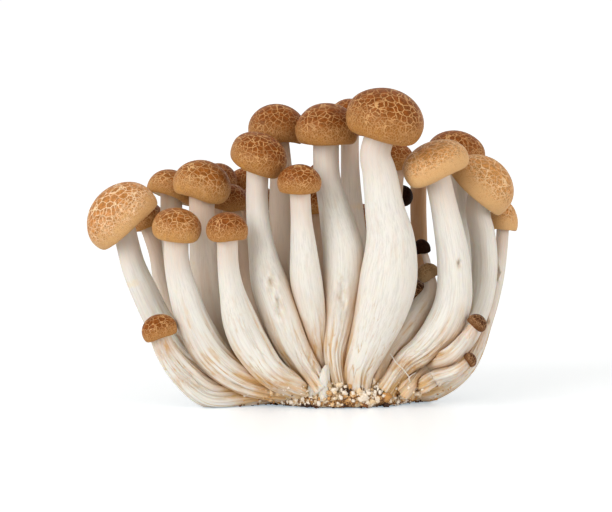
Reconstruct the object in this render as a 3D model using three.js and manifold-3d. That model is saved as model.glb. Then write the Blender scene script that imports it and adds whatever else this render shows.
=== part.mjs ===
// A clump of brown beech mushrooms, about 108 mm wide and 78 mm tall, standing on its cut base.
// Millimetres, +Z up, origin on the surface it stands on, -Y towards the side that shows best.
// Every mushroom is a stalk and a cap. The stalks crowd against each other where they rise from one
// shared base, and the smallest ones, the pinheads, have stalks that are part of that base.
import * as THREE from "three";
import { mergeVertices } from "three/addons/utils/BufferGeometryUtils.js";
import Module from "manifold-3d";

const wasm = await Module();
wasm.setup();

// The spot that the clump is looked at from. Sizes and places of the mushrooms are given as seen from
// there, in the upright plane y = 0, and are then carried along the line of sight to their real depth y.
const EYE = { x: 0.75, y: -597.7, z: 87.8 };

// Gap that two neighbouring pieces keep, and the least height of a stalk above the surface.
const GAP = 0.36;
const CLEAR_OF_FLOOR = 0.25;

const STALK = {
  samples: 36, // points kept along a stalk's middle line
  rings: 9,
  sides: 8,
  pinRings: 6,
  pinSides: 6,
  oval: 0.05, // share by which a stalk is out of round
  least: 0.3, // a crowded stalk keeps at least this share of its radius
  rootHeight: 3.6, // height at which the middle lines end inside the base
  intoCap: 0.34, // share of the cap's height that the stalk reaches into
  topShare: 0.56, // a stalk's top is at most this share of the cap's radius
};

// How the stalks shift in depth: the shares of both radii that stay between two middle lines high up and
// near the base, the share of the missing room that is made in each round, the share of both radii that a
// stalk keeps to a cap's middle, and how many points each way are evened out at the end.
const SETTLE = { rounds: 30, loose: 1.04, crowded: 0.62, share: 0.32, capShare: 0.9, even: 5 };

const BASE = {
  x: 8.5,
  y: -1.5,
  halfWide: 23.5,
  halfDeep: 19.5,
  footShare: 0.84, // the flat underside, as a share of the outline
  lowSide: 1.3,
  highSide: 3.1,
  rim: 4.3,
  top: 4.9,
  columns: 40,
  lump: 0.9, // how far the crumbly side stands in and out
  lumpHigh: 0.35, // and up and down
};

const CAP = {
  widestAt: 0.24, // height of the widest line at no roll, as a share of the cap's height
  rollUp: 0.14, // added to it at full roll
  edgeIn: 0.04, // how far the edge lies inside the widest line at no roll, as a share of the radius
  rollIn: 0.24, // added to it at full roll
  gillMid: 0.55, // radius at which the gills are deepest, as a share of the edge's
  gillRise: 0.2,
  gillDepth: 0.16, // depth of the grooves between gills, as a share of the cap's height
  hubRise: 0.26,
  wave: 0.035, // how far the outline waves, as a share of the radius
};

// Column and ring counts of a cap by its width: two columns to a gill. Pinheads are still closed round
// their stalks.
const CAP_SIZES = [
  { from: 13.5, columns: 28, domeRings: 4, gilled: true },
  { from: 8.9, columns: 20, domeRings: 3, gilled: true },
  { from: 6, columns: 16, domeRings: 3, gilled: true },
  { from: 0, columns: 10, domeRings: 2, gilled: false },
];

// cap: x and z of the middle of its rim, depth y, width, height, lean to the right and nod towards the
// viewer in degrees, and roll of the edge from 0 to 1. stalk: x, z and radius, from under the cap down.
// root: x, y and radius where it leaves the base. A pinhead's stalk belongs to the base.
const MUSHROOMS = [
  // The front row, from left to right.
  { id: "01", cap: { x: -43, z: 43.1, y: -8, wide: 18.6, high: 11, lean: -42, nod: 8, roll: 0.3 },
    stalk: [[-43.5, 37, 2.9], [-42.3, 32.5, 3.1], [-40, 27, 3.4], [-35.8, 18.5, 3.6], [-29.4, 10, 3.7],
      [-20, 5, 3.9]],
    root: [-7.5, -6.5, 3.4] },
  { id: "02", cap: { x: -35.6, z: 15.3, y: -21, wide: 8.8, high: 5.6, lean: -16, nod: 6, roll: 0.5 },
    stalk: [[-34.4, 12, 2.7], [-30, 6, 3.3], [-23.6, 0.8, 3.6], [-15.5, 0.4, 3.4]], root: [-7, -14.5, 3] },
  { id: "03", cap: { x: -31.8, z: 39.8, y: -20.5, wide: 12.8, high: 7.8, lean: 7, nod: 5, roll: 0.75 },
    stalk: [[-31.5, 34, 3], [-29.6, 25.5, 3.6], [-27, 18, 4.1], [-22.6, 10.6, 4.4], [-14.8, 5, 4.1]],
    root: [-1, -15.5, 3] },
  { id: "07", cap: { x: -18.9, z: 39.8, y: -24, wide: 10.2, high: 6.7, lean: 0, nod: 6, roll: 0.5 },
    stalk: [[-18.8, 33.5, 2.6], [-17.8, 26.5, 3.1], [-15.8, 19.2, 4.3], [-12.6, 12.6, 4.5], [-7, 6, 3.6]],
    root: [2, -16.5, 2.6] },
  { id: "10", cap: { x: -12.3, z: 57.2, y: -14.5, wide: 14.8, high: 9.4, lean: 21, nod: 6, roll: 0.75 },
    stalk: [[-11.4, 50, 2.8], [-11, 43, 3], [-10, 36, 3.6], [-8.6, 29.5, 4.6], [-6.2, 22.5, 5],
      [-3.4, 14.5, 4.6], [0.5, 7.5, 3.6]],
    root: [5, -17, 2.8] },
  { id: "13", cap: { x: -0.8, z: 51.6, y: -22, wide: 10.8, high: 6.9, lean: 0, nod: 6, roll: 0.6 },
    stalk: [[-0.4, 45.5, 2.6], [0.2, 37.5, 3.3], [0.9, 29, 4], [2.4, 20, 3.5], [4, 11, 2.6]],
    root: [7.5, -13.5, 2.2] },
  { id: "12", cap: { x: 5.8, z: 63.8, y: -12.5, wide: 16, high: 9.9, lean: 0, nod: 5, roll: 0.65 },
    stalk: [[5.9, 57, 3.1], [7, 51, 3.3], [8.8, 43.5, 4.2], [10.3, 36, 5], [10, 27.5, 4.7], [9, 18.5, 3.7],
      [8, 10.5, 2.8]],
    root: [9.5, -17.5, 2.3] },
  { id: "14", cap: { x: 19.5, z: 65.2, y: -22, wide: 19.7, high: 12.3, lean: 15, nod: 8, roll: 0.9 },
    stalk: [[18.1, 61.5, 3.6], [19.2, 56, 4.1], [20.5, 47.5, 4.7], [22, 39, 5.9], [21.4, 29.5, 6.9],
      [19.2, 21, 6.2], [16.4, 13.5, 5], [13.8, 7, 4.2]],
    root: [13, -16.5, 3.3] },
  { id: "17", cap: { x: 33.9, z: 55.7, y: -15.5, wide: 17.4, high: 8.6, lean: -22, nod: 7, roll: 0.6 },
    stalk: [[34.8, 50, 3.1], [36.3, 43, 3.5], [37.6, 35.5, 3.9], [38, 28, 4.2], [37.2, 22.5, 4.5],
      [34.4, 16.8, 4.5], [30.2, 12.2, 3.7], [25.6, 8.6, 3]],
    root: [20, -15.5, 2.6] },
  { id: "26", cap: { x: 42.9, z: 17.8, y: -18.5, wide: 5.2, high: 3.3, lean: 38, nod: 6, roll: 0.5 },
    stalk: [[40.6, 14.6, 2], [36.4, 10.8, 2.5], [31, 7.4, 2.6]], root: [25, -12, 2.6] },
  { id: "27", pin: true, cap: { x: 41.2, z: 9, y: -21, wide: 3.8, high: 2.4, lean: 58, nod: 6, roll: 0.5 },
    stalk: [[38.6, 7.4, 1.4], [34, 5.4, 1.8]], root: [25.5, -11, 2.3] },

  // The middle row.
  { id: "05", cap: { x: -25.9, z: 50.3, y: -8.5, wide: 14.1, high: 9.3, lean: 13, nod: 6, roll: 0.8 },
    stalk: [[-25.3, 44, 3.1], [-24.8, 36, 3.4], [-24.2, 27, 4], [-22.3, 18, 4.2], [-17, 9.5, 4.1],
      [-10, 4.5, 3.6]],
    root: [-5, -8, 3] },
  { id: "06", cap: { x: -38.4, z: 42.5, y: 10, wide: 9.4, high: 7, lean: -18, nod: -6, roll: 0.3 },
    stalk: [[-36.4, 36.5, 2.1], [-35, 29, 2.3], [-32, 19.5, 2.6], [-25, 9.5, 3]], root: [-10, 4, 2.8] },
  { id: "04", cap: { x: -33.7, z: 50, y: 2.5, wide: 12.6, high: 7.2, lean: 20, nod: -9, roll: 0.35 },
    stalk: [[-32.8, 44.5, 2.8], [-32.2, 36, 2.8], [-29.8, 24.5, 3], [-24.5, 14.5, 3.2], [-16, 7, 3.2]],
    root: [-9, 0, 2.8] },
  { id: "30", cap: { x: -18.6, z: 47.2, y: 0.5, wide: 9.8, high: 6.4, lean: 6, nod: 0, roll: 0.5 },
    stalk: [[-16.8, 41.5, 2.3], [-15.4, 35, 2.6], [-13.6, 27.5, 3], [-10.8, 18.5, 3.2], [-5.6, 8.5, 3]],
    root: [-1, -12, 2.6] },
  { id: "31", cap: { x: -11.4, z: 47, y: 8.5, wide: 9.4, high: 6.2, lean: 0, nod: 0, roll: 0.5 },
    stalk: [[-11, 40, 2.3], [-9.4, 28, 2.6], [-5.5, 14, 2.9]], root: [1.5, 0, 2.6] },
  { id: "11", cap: { x: -6.8, z: 64, y: -1.5, wide: 13.8, high: 9.5, lean: 3, nod: 2, roll: 0.6 },
    stalk: [[-5.4, 56.5, 2.8], [-5.4, 48, 3], [-5, 38, 3.3], [-3.8, 26, 3.6], [-0.5, 13, 3.4]],
    root: [5, -9, 2.8] },
  { id: "15", cap: { x: 11.6, z: 65.6, y: 3, wide: 11.8, high: 9.2, lean: 0, nod: 0, roll: 0.6 },
    stalk: [[11.7, 58, 2.4], [12.2, 48.5, 2.8], [13.2, 38, 3], [13.6, 24, 3.3], [13, 12, 3.2]],
    root: [12, -8, 2.8] },
  { id: "16", cap: { x: 23.4, z: 57, y: 1.5, wide: 9.4, high: 6.8, lean: -4, nod: 0, roll: 0.5 },
    stalk: [[22.6, 50.5, 2.2], [21.8, 40, 2.5], [21, 28, 2.9], [20, 14, 3]], root: [19, -6, 2.8] },
  { id: "19", cap: { x: 42.8, z: 51.2, y: -3, wide: 17.6, high: 9.8, lean: 40, nod: 8, roll: 0.15 },
    stalk: [[43.6, 47.5, 3], [45, 40, 3.3], [45.4, 32, 3.3], [44, 23.5, 3.3], [39.5, 14.5, 3.6],
      [32.5, 7.5, 3.6]],
    root: [25.5, -9, 3] },
  { id: "24", pin: true, cap: { x: 31.9, z: 29.9, y: -9, wide: 5.4, high: 4, lean: -28, nod: 0, roll: 0.5 },
    stalk: [[32, 27, 1.8], [29.8, 22.8, 2.8], [26, 17.5, 3.8], [21.3, 11.5, 4.1]], root: [17, -15.5, 3.4] },
  { id: "23", pin: true, cap: { x: 30, z: 36.2, y: 0, wide: 4.4, high: 3.6, lean: -14, nod: 0, roll: 0.5 },
    stalk: [[31.2, 33, 0.9], [31, 24, 1.3], [28, 12, 1.7]], root: [24, -3, 2] },

  // The far side.
  { id: "08", cap: { x: -21.6, z: 52, y: 9, wide: 9.4, high: 6.8, lean: 12, nod: -5, roll: 0.6 },
    stalk: [[-20.6, 46, 2.3], [-19, 35, 2.7], [-15.5, 20, 3.1], [-9.5, 8.5, 3.1]], root: [-4, 7, 2.8] },
  { id: "09", cap: { x: -14.2, z: 51.6, y: 18, wide: 9.2, high: 6, lean: 0, nod: -6, roll: 0.6 },
    stalk: [[-13.6, 45, 2.4], [-12, 30, 2.8], [-7, 13, 3.1]], root: [0, 11, 2.8] },
  { id: "34", cap: { x: 3.6, z: 46.4, y: 2.5, wide: 8.6, high: 6.2, lean: -4, nod: 0, roll: 0.5 },
    stalk: [[4, 39, 2.3], [5, 26, 2.7], [6.8, 13, 2.9]], root: [8, -2, 2.6] },
  { id: "35", cap: { x: 5, z: 53.4, y: 12, wide: 8.2, high: 5.8, lean: 0, nod: -6, roll: 0.6 },
    stalk: [[5.2, 46, 2.4], [6.4, 32, 2.9], [8, 16, 3.3]], root: [9, 8, 3] },
  { id: "21", pin: true, cap: { x: 23.9, z: 50.2, y: 8, wide: 5.6, high: 3.6, lean: 68, nod: 0, roll: 0.5 },
    stalk: [[20.6, 47, 1.4], [19.6, 36, 1.7], [18.8, 18, 2]], root: [18, 3.5, 2.2] },
  { id: "22", cap: { x: 28.8, z: 55.2, y: 17, wide: 8.8, high: 6.2, lean: 4, nod: -4, roll: 0.6 },
    stalk: [[28.8, 48, 2.1], [29.1, 38, 2.1], [29, 28, 2.3], [27, 14, 2.6]], root: [22.5, 10, 2.6] },
  { id: "18", cap: { x: 37.5, z: 58, y: 8.6, wide: 14.4, high: 8.9, lean: 4, nod: -3, roll: 0.5 },
    stalk: [[38.6, 50, 2.7], [40, 40, 2.8], [39.6, 27.5, 3], [34.5, 14.5, 3.2]], root: [25.5, 3, 2.8] },
  { id: "20", cap: { x: 49.9, z: 42, y: 4, wide: 7.4, high: 7.2, lean: 2, nod: -4, roll: 0.3 },
    stalk: [[49.6, 38, 1.5], [48.9, 30.5, 1.4], [47.4, 23.4, 1.4], [45.6, 18, 1.6], [43.6, 12.8, 2.1],
      [40.8, 8.3, 2.7], [36.4, 4.7, 3.2], [31, 2.2, 3.5]],
    root: [25, -12, 3.1] },
  { id: "25", pin: true, cap: { x: 27.4, z: 24.2, y: 3, wide: 7.6, high: 5.6, lean: 4, nod: 4, roll: 0.6 },
    stalk: [[26.6, 18, 2.3], [25, 11, 2.6]], root: [22, 5, 2.6] },
  { id: "28", cap: { x: 14.5, z: 41, y: 16.5, wide: 11.6, high: 7.6, lean: 4, nod: -14, roll: 0.5 },
    stalk: [[14.4, 34, 3], [14.2, 24, 3.5], [14.2, 12, 3.6]], root: [14.5, 11, 3.2] },
];

const radians = THREE.MathUtils.degToRad;
const shareOfOne = (value) => value - Math.floor(value);

// A number from -1 to 1 that is always the same for the same seed and step.
const chance = (seed, step) => 2 * shareOfOne(Math.sin(seed * 12.9898 + step * 78.233) * 43758.5453) - 1;

const depthScale = (y) => (y - EYE.y) / -EYE.y;

// Carries a point seen at x, z in the plane y = 0 along the line of sight to depth y.
function atDepth(x, z, y) {
  const k = depthScale(y);
  return [EYE.x + (x - EYE.x) * k, y, EYE.z + (z - EYE.z) * k];
}

// A smooth curve through rows of numbers, t from 0 at the first to 1 at the last.
function curveThrough(rows, t) {
  const span = t * (rows.length - 1);
  const i = Math.min(Math.floor(span), rows.length - 2);
  const f = span - i;
  const row = (k) => rows[Math.max(0, Math.min(rows.length - 1, k))];
  const [a, b, c, d] = [row(i - 1), row(i), row(i + 1), row(i + 2)];
  return b.map((_, n) => {
    const slope = (c[n] - a[n]) * f;
    const bend = (2 * a[n] - 5 * b[n] + 4 * c[n] - d[n]) * f * f;
    const twist = (3 * b[n] - a[n] - 3 * c[n] + d[n]) * f * f * f;
    return b[n] + 0.5 * (slope + bend + twist);
  });
}

const distance = (a, b) => Math.hypot(a[0] - b[0], a[1] - b[1], a[2] - b[2]);

// The same curve as rows that are evenly spaced along its length.
function evenRows(rows, count) {
  const fine = Array.from({ length: 201 }, (_, k) => curveThrough(rows, k / 200));
  const run = [0];
  for (let k = 1; k < fine.length; k++) run.push(run[k - 1] + distance(fine[k], fine[k - 1]));
  let k = 0;
  return Array.from({ length: count }, (_, n) => {
    const want = (run[run.length - 1] * n) / (count - 1);
    while (k < run.length - 2 && run[k + 1] < want) k++;
    const f = (want - run[k]) / (run[k + 1] - run[k]);
    return fine[k].map((value, m) => value + (fine[k + 1][m] - value) * f);
  });
}

// Where a cap sits: the middle of its rim, its axis, and its real width and height.
function placeCap({ x, z, y, wide, high, lean, nod }) {
  const k = depthScale(y);
  const [across, forward] = [radians(lean), radians(nod)];
  return {
    rim: new THREE.Vector3(...atDepth(x, z, y)),
    axis: new THREE.Vector3(
      Math.sin(across) * Math.cos(forward),
      -Math.sin(forward),
      Math.cos(across) * Math.cos(forward),
    ),
    radius: (wide / 2) * k,
    high: high * k,
  };
}

// The middle line of a stalk as rows of x, y, z and radius, from the base up into the cap.
function stalkLine(mushroom) {
  const place = placeCap(mushroom.cap);
  const top = place.rim.clone().addScaledVector(place.axis, place.high * STALK.intoCap);
  const [rootX, rootY, rootRadius] = mushroom.root;
  const seen = [...mushroom.stalk].reverse();
  const flat = [[rootX, STALK.rootHeight], ...seen, [mushroom.cap.x, mushroom.cap.z]];
  const run = [0];
  for (let k = 1; k < flat.length; k++) {
    run.push(run[k - 1] + Math.hypot(flat[k][0] - flat[k - 1][0], flat[k][1] - flat[k - 1][1]));
  }
  const whole = run[run.length - 1];
  const rows = [[rootX, rootY, STALK.rootHeight, rootRadius]];
  seen.forEach(([x, z, radius], n) => {
    const y = rootY + (mushroom.cap.y - rootY) * (run[n + 1] / whole);
    rows.push([...atDepth(x, z, y), radius * depthScale(y)]);
  });
  rows.push([top.x, top.y, top.z, Math.min(rows[rows.length - 1][3], place.radius * STALK.topShare)]);
  return evenRows(rows, STALK.samples);
}

// Lets the stalks shift in depth until their middle lines are clear of each other and of the caps.
function settle(lines, caps) {
  const last = STALK.samples - 1;
  for (let round = 0; round < SETTLE.rounds; round++) {
    const shifts = lines.map((line, i) =>
      line.map((row, a) => {
        const height = a / last;
        const spread = SETTLE.crowded + (SETTLE.loose - SETTLE.crowded) * Math.min(1, height * 1.6);
        let [back, forth] = [0, 0];
        const meet = (other, otherRadius, share, ahead) => {
          const need = share * (row[3] + otherRadius);
          const apart = (row[0] - other[0]) ** 2 + (row[2] - other[2]) ** 2;
          if (apart >= need * need) return;
          const gap = row[1] - other[1];
          const missing = Math.sqrt(need * need - apart) - Math.abs(gap);
          if (missing <= 0) return;
          if (gap > 0 || (gap === 0 && ahead)) back = Math.max(back, missing);
          else forth = Math.max(forth, missing);
        };
        lines.forEach((other, j) => {
          if (j !== i) other.forEach((point) => meet(point, point[3], spread, i > j));
        });
        caps.forEach((cap, j) => {
          if (j !== i) meet([cap.x, cap.y, cap.z], cap.radius, SETTLE.capShare, i > j);
        });
        return (back - forth) * SETTLE.share * Math.min(1, (1 - height) * 8);
      }),
    );
    lines.forEach((line, i) => {
      const shift = shifts[i];
      line.forEach((row, a) => {
        const near = [-2, -1, 0, 1, 2].map((k) => shift[Math.max(0, Math.min(last, a + k))]);
        row[1] += near.reduce((sum, value) => sum + value, 0) / near.length;
      });
    });
  }
  lines.forEach(evenDepths);
}

// Evens out the depths along a middle line, all but those of its two ends.
function evenDepths(line) {
  const depths = line.map((row) => row[1]);
  line.forEach((row, a) => {
    const reach = Math.min(SETTLE.even, a, line.length - 1 - a);
    const near = depths.slice(a - reach, a + reach + 1);
    const weights = near.map((_, k) => 1 + Math.min(k, near.length - 1 - k));
    const whole = weights.reduce((sum, value) => sum + value, 0);
    row[1] = near.reduce((sum, value, k) => sum + value * weights[k], 0) / whole;
  });
}

// How far a point lies outside a stalk, given the rows of its middle line.
function outside(point, line) {
  return line.reduce((least, row) => Math.min(least, distance(point, row) - row[3]), Infinity);
}

// The reach of a stalk from its middle in one direction: what it would have alone, or less where it meets the
// half-way surface to a neighbour.
function pressedReach(centre, direction, alone, neighbours, gap) {
  let reach = alone;
  neighbours.flat().forEach((row) => {
    const away = centre.map((value, n) => value - row[n]);
    const margin = row[3] - alone + gap;
    const closing = margin - away.reduce((sum, value, n) => sum + value * direction[n], 0);
    const square = away.reduce((sum, value) => sum + value * value, 0);
    if (closing > 0) reach = Math.min(reach, (square - margin * margin) / (2 * closing));
  });
  return Math.max(reach, alone * STALK.least);
}

// A closed solid from rings of points, each ring the same length, between two end points.
function solidFromRings(first, rings, end) {
  const columns = rings[0].length;
  const points = [first, ...rings.flat(), end];
  const at = (ring, column) => 1 + ring * columns + (column % columns);
  const faces = [];
  for (let c = 0; c < columns; c++) {
    faces.push(0, at(0, c + 1), at(0, c));
    for (let r = 0; r < rings.length - 1; r++) {
      faces.push(at(r, c), at(r, c + 1), at(r + 1, c), at(r, c + 1), at(r + 1, c + 1), at(r + 1, c));
    }
    faces.push(at(rings.length - 1, c), at(rings.length - 1, c + 1), points.length - 1);
  }
  const vertProperties = new Float32Array(points.flat());
  const triVerts = new Uint32Array(faces);
  return new wasm.Manifold(new wasm.Mesh({ numProp: 3, vertProperties, triVerts }));
}

// A stalk's solid: rings across its middle line, out of round, pressed by its neighbours and flat where it
// would go below the surface.
function stalkSolid(lines, index, seed, { rings, sides, gap, grow = 0 }) {
  const line = lines[index];
  const neighbours = lines.filter((_, j) => j !== index);
  const lobes = (turn, t) => {
    const two = Math.cos(2 * turn + 3 * chance(seed, 1));
    return 1 + STALK.oval * (two + 0.5 * Math.cos(3 * turn + 4 * t + 3 * chance(seed, 2)));
  };
  const ringOf = (t) => {
    const row = curveThrough(line, t);
    const ahead = curveThrough(line, Math.min(1, t + 0.01));
    const behind = curveThrough(line, Math.max(0, t - 0.01));
    const [next, past] = [ahead, behind].map(([x, y, z]) => new THREE.Vector3(x, y, z));
    const along = next.sub(past).normalize();
    const right = new THREE.Vector3(0, 1, 0).cross(along).normalize();
    const deep = new THREE.Vector3().crossVectors(along, right);
    const centre = row.slice(0, 3);
    const near = neighbours.filter((other) => outside(centre, other) < row[3] + GAP);
    return {
      centre,
      points: Array.from({ length: sides }, (_, s) => {
        const turn = (2 * Math.PI * s) / sides;
        const out = right.clone().multiplyScalar(Math.cos(turn)).addScaledVector(deep, Math.sin(turn));
        const direction = out.toArray();
        const reach = pressedReach(centre, direction, row[3] * lobes(turn, t), near, gap) + grow;
        const point = centre.map((value, n) => value + direction[n] * reach);
        point[2] = Math.max(point[2], CLEAR_OF_FLOOR);
        return point;
      }),
    };
  };
  const all = Array.from({ length: rings }, (_, k) => ringOf(k / (rings - 1)));
  return solidFromRings(all[0].centre, all.map((ring) => ring.points), all[rings - 1].centre);
}

// Heights and radii of a cap from its top round the edge and in under the gills, as shares of height and
// radius.
function capProfile(roll, domeRings) {
  const edge = 1 - CAP.edgeIn - CAP.rollIn * roll;
  const widestAt = CAP.widestAt + CAP.rollUp * roll;
  const rows = [];
  for (let k = 1; k <= domeRings; k++) {
    const tilt = (Math.PI / 2) * (k / domeRings);
    rows.push({ r: Math.sin(tilt), z: widestAt + (1 - widestAt) * Math.cos(tilt), groove: 0 });
  }
  if (domeRings > 2) {
    rows.push({ r: edge + (1 - edge) * Math.SQRT1_2, z: widestAt * (1 - Math.SQRT1_2), groove: 0 });
  }
  rows.push({ r: edge, z: 0, groove: 0 });
  rows.push({ r: edge * CAP.gillMid, z: CAP.gillRise * 0.5, groove: 1 });
  return rows;
}

// A cap's solid: a dome with a rolled edge, and gills hanging under it.
function capSolid(cap, seed, grow = 0) {
  const place = placeCap(cap);
  const { columns, domeRings, gilled } = CAP_SIZES.find((size) => cap.wide >= size.from);
  const turnTo = new THREE.Quaternion().setFromUnitVectors(new THREE.Vector3(0, 0, 1), place.axis);
  const toPlace = (x, y, z) => new THREE.Vector3(x, y, z).applyQuaternion(turnTo).add(place.rim).toArray();
  const [radius, high] = [place.radius + grow, place.high + grow];
  const wave = (turn) => {
    const two = Math.cos(2 * turn + 3 * chance(seed, 3));
    return 1 + CAP.wave * (two + 0.6 * Math.cos(3 * turn + 3 * chance(seed, 4)));
  };
  const rings = capProfile(cap.roll, domeRings).map(({ r, z, groove }) =>
    Array.from({ length: columns }, (_, c) => {
      const turn = (2 * Math.PI * c) / columns;
      const reach = radius * r * wave(turn);
      const lift = (gilled ? groove * (c % 2) * CAP.gillDepth * high : 0) - (z === 0 ? grow : 0);
      return toPlace(reach * Math.cos(turn), reach * Math.sin(turn), high * z + lift);
    }),
  );
  // The rings run from the top down, so the solid is built from the hub up to keep its faces pointing out.
  return solidFromRings(toPlace(0, 0, high * CAP.hubRise), rings.reverse(), toPlace(0, 0, high));
}

// The base: a low lumpy cake with a flat underside, crumbly round its side where the growing block was.
function baseSolid(grow = 0) {
  const ringAt = (share, z, lump, seed) =>
    Array.from({ length: BASE.columns }, (_, c) => {
      const turn = (2 * Math.PI * c) / BASE.columns;
      const out = lump * BASE.lump * chance(seed, c) + grow;
      return [
        BASE.x + (BASE.halfWide * share + out) * Math.cos(turn),
        BASE.y + (BASE.halfDeep * share + out) * Math.sin(turn),
        z + BASE.lumpHigh * lump * chance(seed + 7, c),
      ];
    });
  const rings = [
    ringAt(BASE.footShare, -grow, 0, 1),
    ringAt(0.97, BASE.lowSide - grow, 1, 2),
    ringAt(1, BASE.highSide, 1, 3),
    ringAt(0.88, BASE.rim + grow, 0.7, 4),
    ringAt(0.5, BASE.top + grow, 0.5, 5),
  ];
  return solidFromRings([BASE.x, BASE.y, -grow], rings, [BASE.x, BASE.y, BASE.top + grow]);
}

// The largest body of a solid, so that no loose scrap of a cut stays.
function largestBody(solid) {
  return solid.decompose().reduce((best, body) => (body.volume() > best.volume() ? body : best));
}

function meshOf(name, solid, material) {
  const { numProp, numVert, vertProperties, triVerts } = largestBody(solid).getMesh();
  const positions = new Float32Array(numVert * 3);
  for (let v = 0; v < numVert; v++) {
    positions.set(vertProperties.subarray(v * numProp, v * numProp + 3), v * 3);
  }
  const geometry = new THREE.BufferGeometry();
  geometry.setAttribute("position", new THREE.BufferAttribute(positions, 3));
  geometry.setIndex(new THREE.BufferAttribute(triVerts, 1));
  const merged = mergeVertices(geometry);
  merged.computeVertexNormals();
  const mesh = new THREE.Mesh(merged, material);
  mesh.name = name;
  return mesh;
}

const capSkin = new THREE.MeshStandardMaterial({ color: 0xb07a45, roughness: 0.55, metalness: 0 });
const stalkFlesh = new THREE.MeshStandardMaterial({ color: 0xf1ece2, roughness: 0.65, metalness: 0 });
const crumbs = new THREE.MeshStandardMaterial({ color: 0xd9b98a, roughness: 0.95, metalness: 0 });

const clump = new THREE.Group();
clump.name = "mushroom_clump";

const lines = MUSHROOMS.map(stalkLine);
const domes = MUSHROOMS.map(({ cap }) => {
  const place = placeCap(cap);
  const middle = place.rim.clone().addScaledVector(place.axis, place.high * 0.35);
  return { x: middle.x, y: middle.y, z: middle.z, radius: place.radius };
});
settle(lines, domes);

const stalksGrownBy = (grow) =>
  MUSHROOMS.map(({ pin }, i) => {
    const [rings, sides] = pin ? [STALK.pinRings, STALK.pinSides] : [STALK.rings, STALK.sides];
    return stalkSolid(lines, i, i + 1, { rings, sides, gap: GAP, grow });
  });
const stalks = stalksGrownBy(0);
const grownStalks = stalksGrownBy(GAP);

let base = baseSolid();
let grownBase = baseSolid(GAP);
MUSHROOMS.forEach((mushroom, i) => {
  if (!mushroom.pin) return;
  base = base.add(stalks[i]);
  grownBase = grownBase.add(grownStalks[i]);
});
clump.add(meshOf("base", base, crumbs));

MUSHROOMS.forEach((mushroom, i) => {
  clump.add(meshOf(`cap_${mushroom.id}`, capSolid(mushroom.cap, i + 1).subtract(grownStalks[i]), capSkin));
  if (mushroom.pin) return;
  // Where two stalks still meet, the one later in the list keeps its shape and the other gives way.
  const meets = (j) => j > i && !MUSHROOMS[j].pin && stalks[i].intersect(stalks[j]).volume() > 0;
  const trimmed = grownStalks.reduce(
    (solid, grown, j) => (meets(j) ? solid.subtract(grown) : solid),
    stalks[i].subtract(grownBase),
  );
  clump.add(meshOf(`stem_${mushroom.id}`, trimmed, stalkFlesh));
});

export default clump;
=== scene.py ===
"""A clump of brown beech mushrooms standing on its cut base, on a plain white ground.

Sizes are in millimetres in the classes and are turned into metres where meshes are made. Every mushroom
has a stalk and a cap whose places and sizes are given as seen from EYE in the upright plane y = 0.
"""

from __future__ import annotations

import logging
import math
from dataclasses import dataclass, field
from enum import Enum

import bpy
import numpy as np
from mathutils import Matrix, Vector

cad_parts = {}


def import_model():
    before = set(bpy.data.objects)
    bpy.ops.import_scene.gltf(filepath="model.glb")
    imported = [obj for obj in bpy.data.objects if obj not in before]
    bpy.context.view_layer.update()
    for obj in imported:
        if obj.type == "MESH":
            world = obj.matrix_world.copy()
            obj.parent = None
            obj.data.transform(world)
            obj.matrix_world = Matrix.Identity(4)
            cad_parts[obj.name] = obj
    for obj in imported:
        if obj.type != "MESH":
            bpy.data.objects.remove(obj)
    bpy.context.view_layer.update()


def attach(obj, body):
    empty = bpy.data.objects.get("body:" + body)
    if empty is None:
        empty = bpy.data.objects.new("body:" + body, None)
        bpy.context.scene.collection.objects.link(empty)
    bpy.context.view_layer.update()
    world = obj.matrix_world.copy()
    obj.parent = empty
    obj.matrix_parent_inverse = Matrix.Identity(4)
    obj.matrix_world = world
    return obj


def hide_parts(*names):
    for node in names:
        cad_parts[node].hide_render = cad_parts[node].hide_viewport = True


LOG = logging.getLogger("mushrooms")
MM = 0.001
EYE = np.array([0.75, -597.7, 87.8])
Colour = tuple[float, float, float]
Socket = bpy.types.NodeSocket


class Tone(Enum):
    """How brown a cap is: the colours of its plates, of the net between them, and of its plain rim."""

    PALE = ((0.48, 0.20, 0.050), (0.90, 0.69, 0.45), (0.72, 0.46, 0.21))
    GOLD = ((0.54, 0.255, 0.074), (0.84, 0.62, 0.37), (0.71, 0.45, 0.21))
    TAN = ((0.30, 0.098, 0.015), (0.68, 0.43, 0.20), (0.60, 0.335, 0.115))
    BROWN = ((0.22, 0.060, 0.007), (0.60, 0.345, 0.145), (0.50, 0.255, 0.074))
    GREY = ((0.30, 0.18, 0.085), (0.50, 0.36, 0.20), (0.40, 0.27, 0.15))
    DARK = ((0.075, 0.022, 0.005), (0.46, 0.27, 0.13), (0.17, 0.07, 0.022))
    # The last tone is painted shade: caps deep in the clump's shadow, coloured almost black.
    BLACK = ((0.012, 0.004, 0.002), (0.03, 0.012, 0.006), (0.018, 0.007, 0.003))


@dataclass(frozen=True)
class CapSpec:
    """A cap as seen: the middle of its rim, its depth and its size.

    It leans to the right and nods to the front by so many degrees, and roll says how far its edge curls in.
    """

    x: float
    z: float
    y: float
    wide: float
    high: float
    lean: float
    nod: float
    roll: float


@dataclass(frozen=True)
class Mushroom:
    """One mushroom: its cap, its stalk as (x, z, radius) from the cap down, and its root (x, y, radius).

    A pin's stalk belongs to the base. Brown is how much painted shade darkens the stalk where it stands
    back in the clump's shadow, and a scar is a crater in it as (x, z, half width, half height).
    """

    name: str
    tone: Tone
    cap: CapSpec
    stalk: tuple[tuple[float, float, float], ...]
    root: tuple[float, float, float]
    pin: bool = False
    brown: float = 0.0
    scars: tuple[tuple[float, float, float, float], ...] = ()


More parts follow.
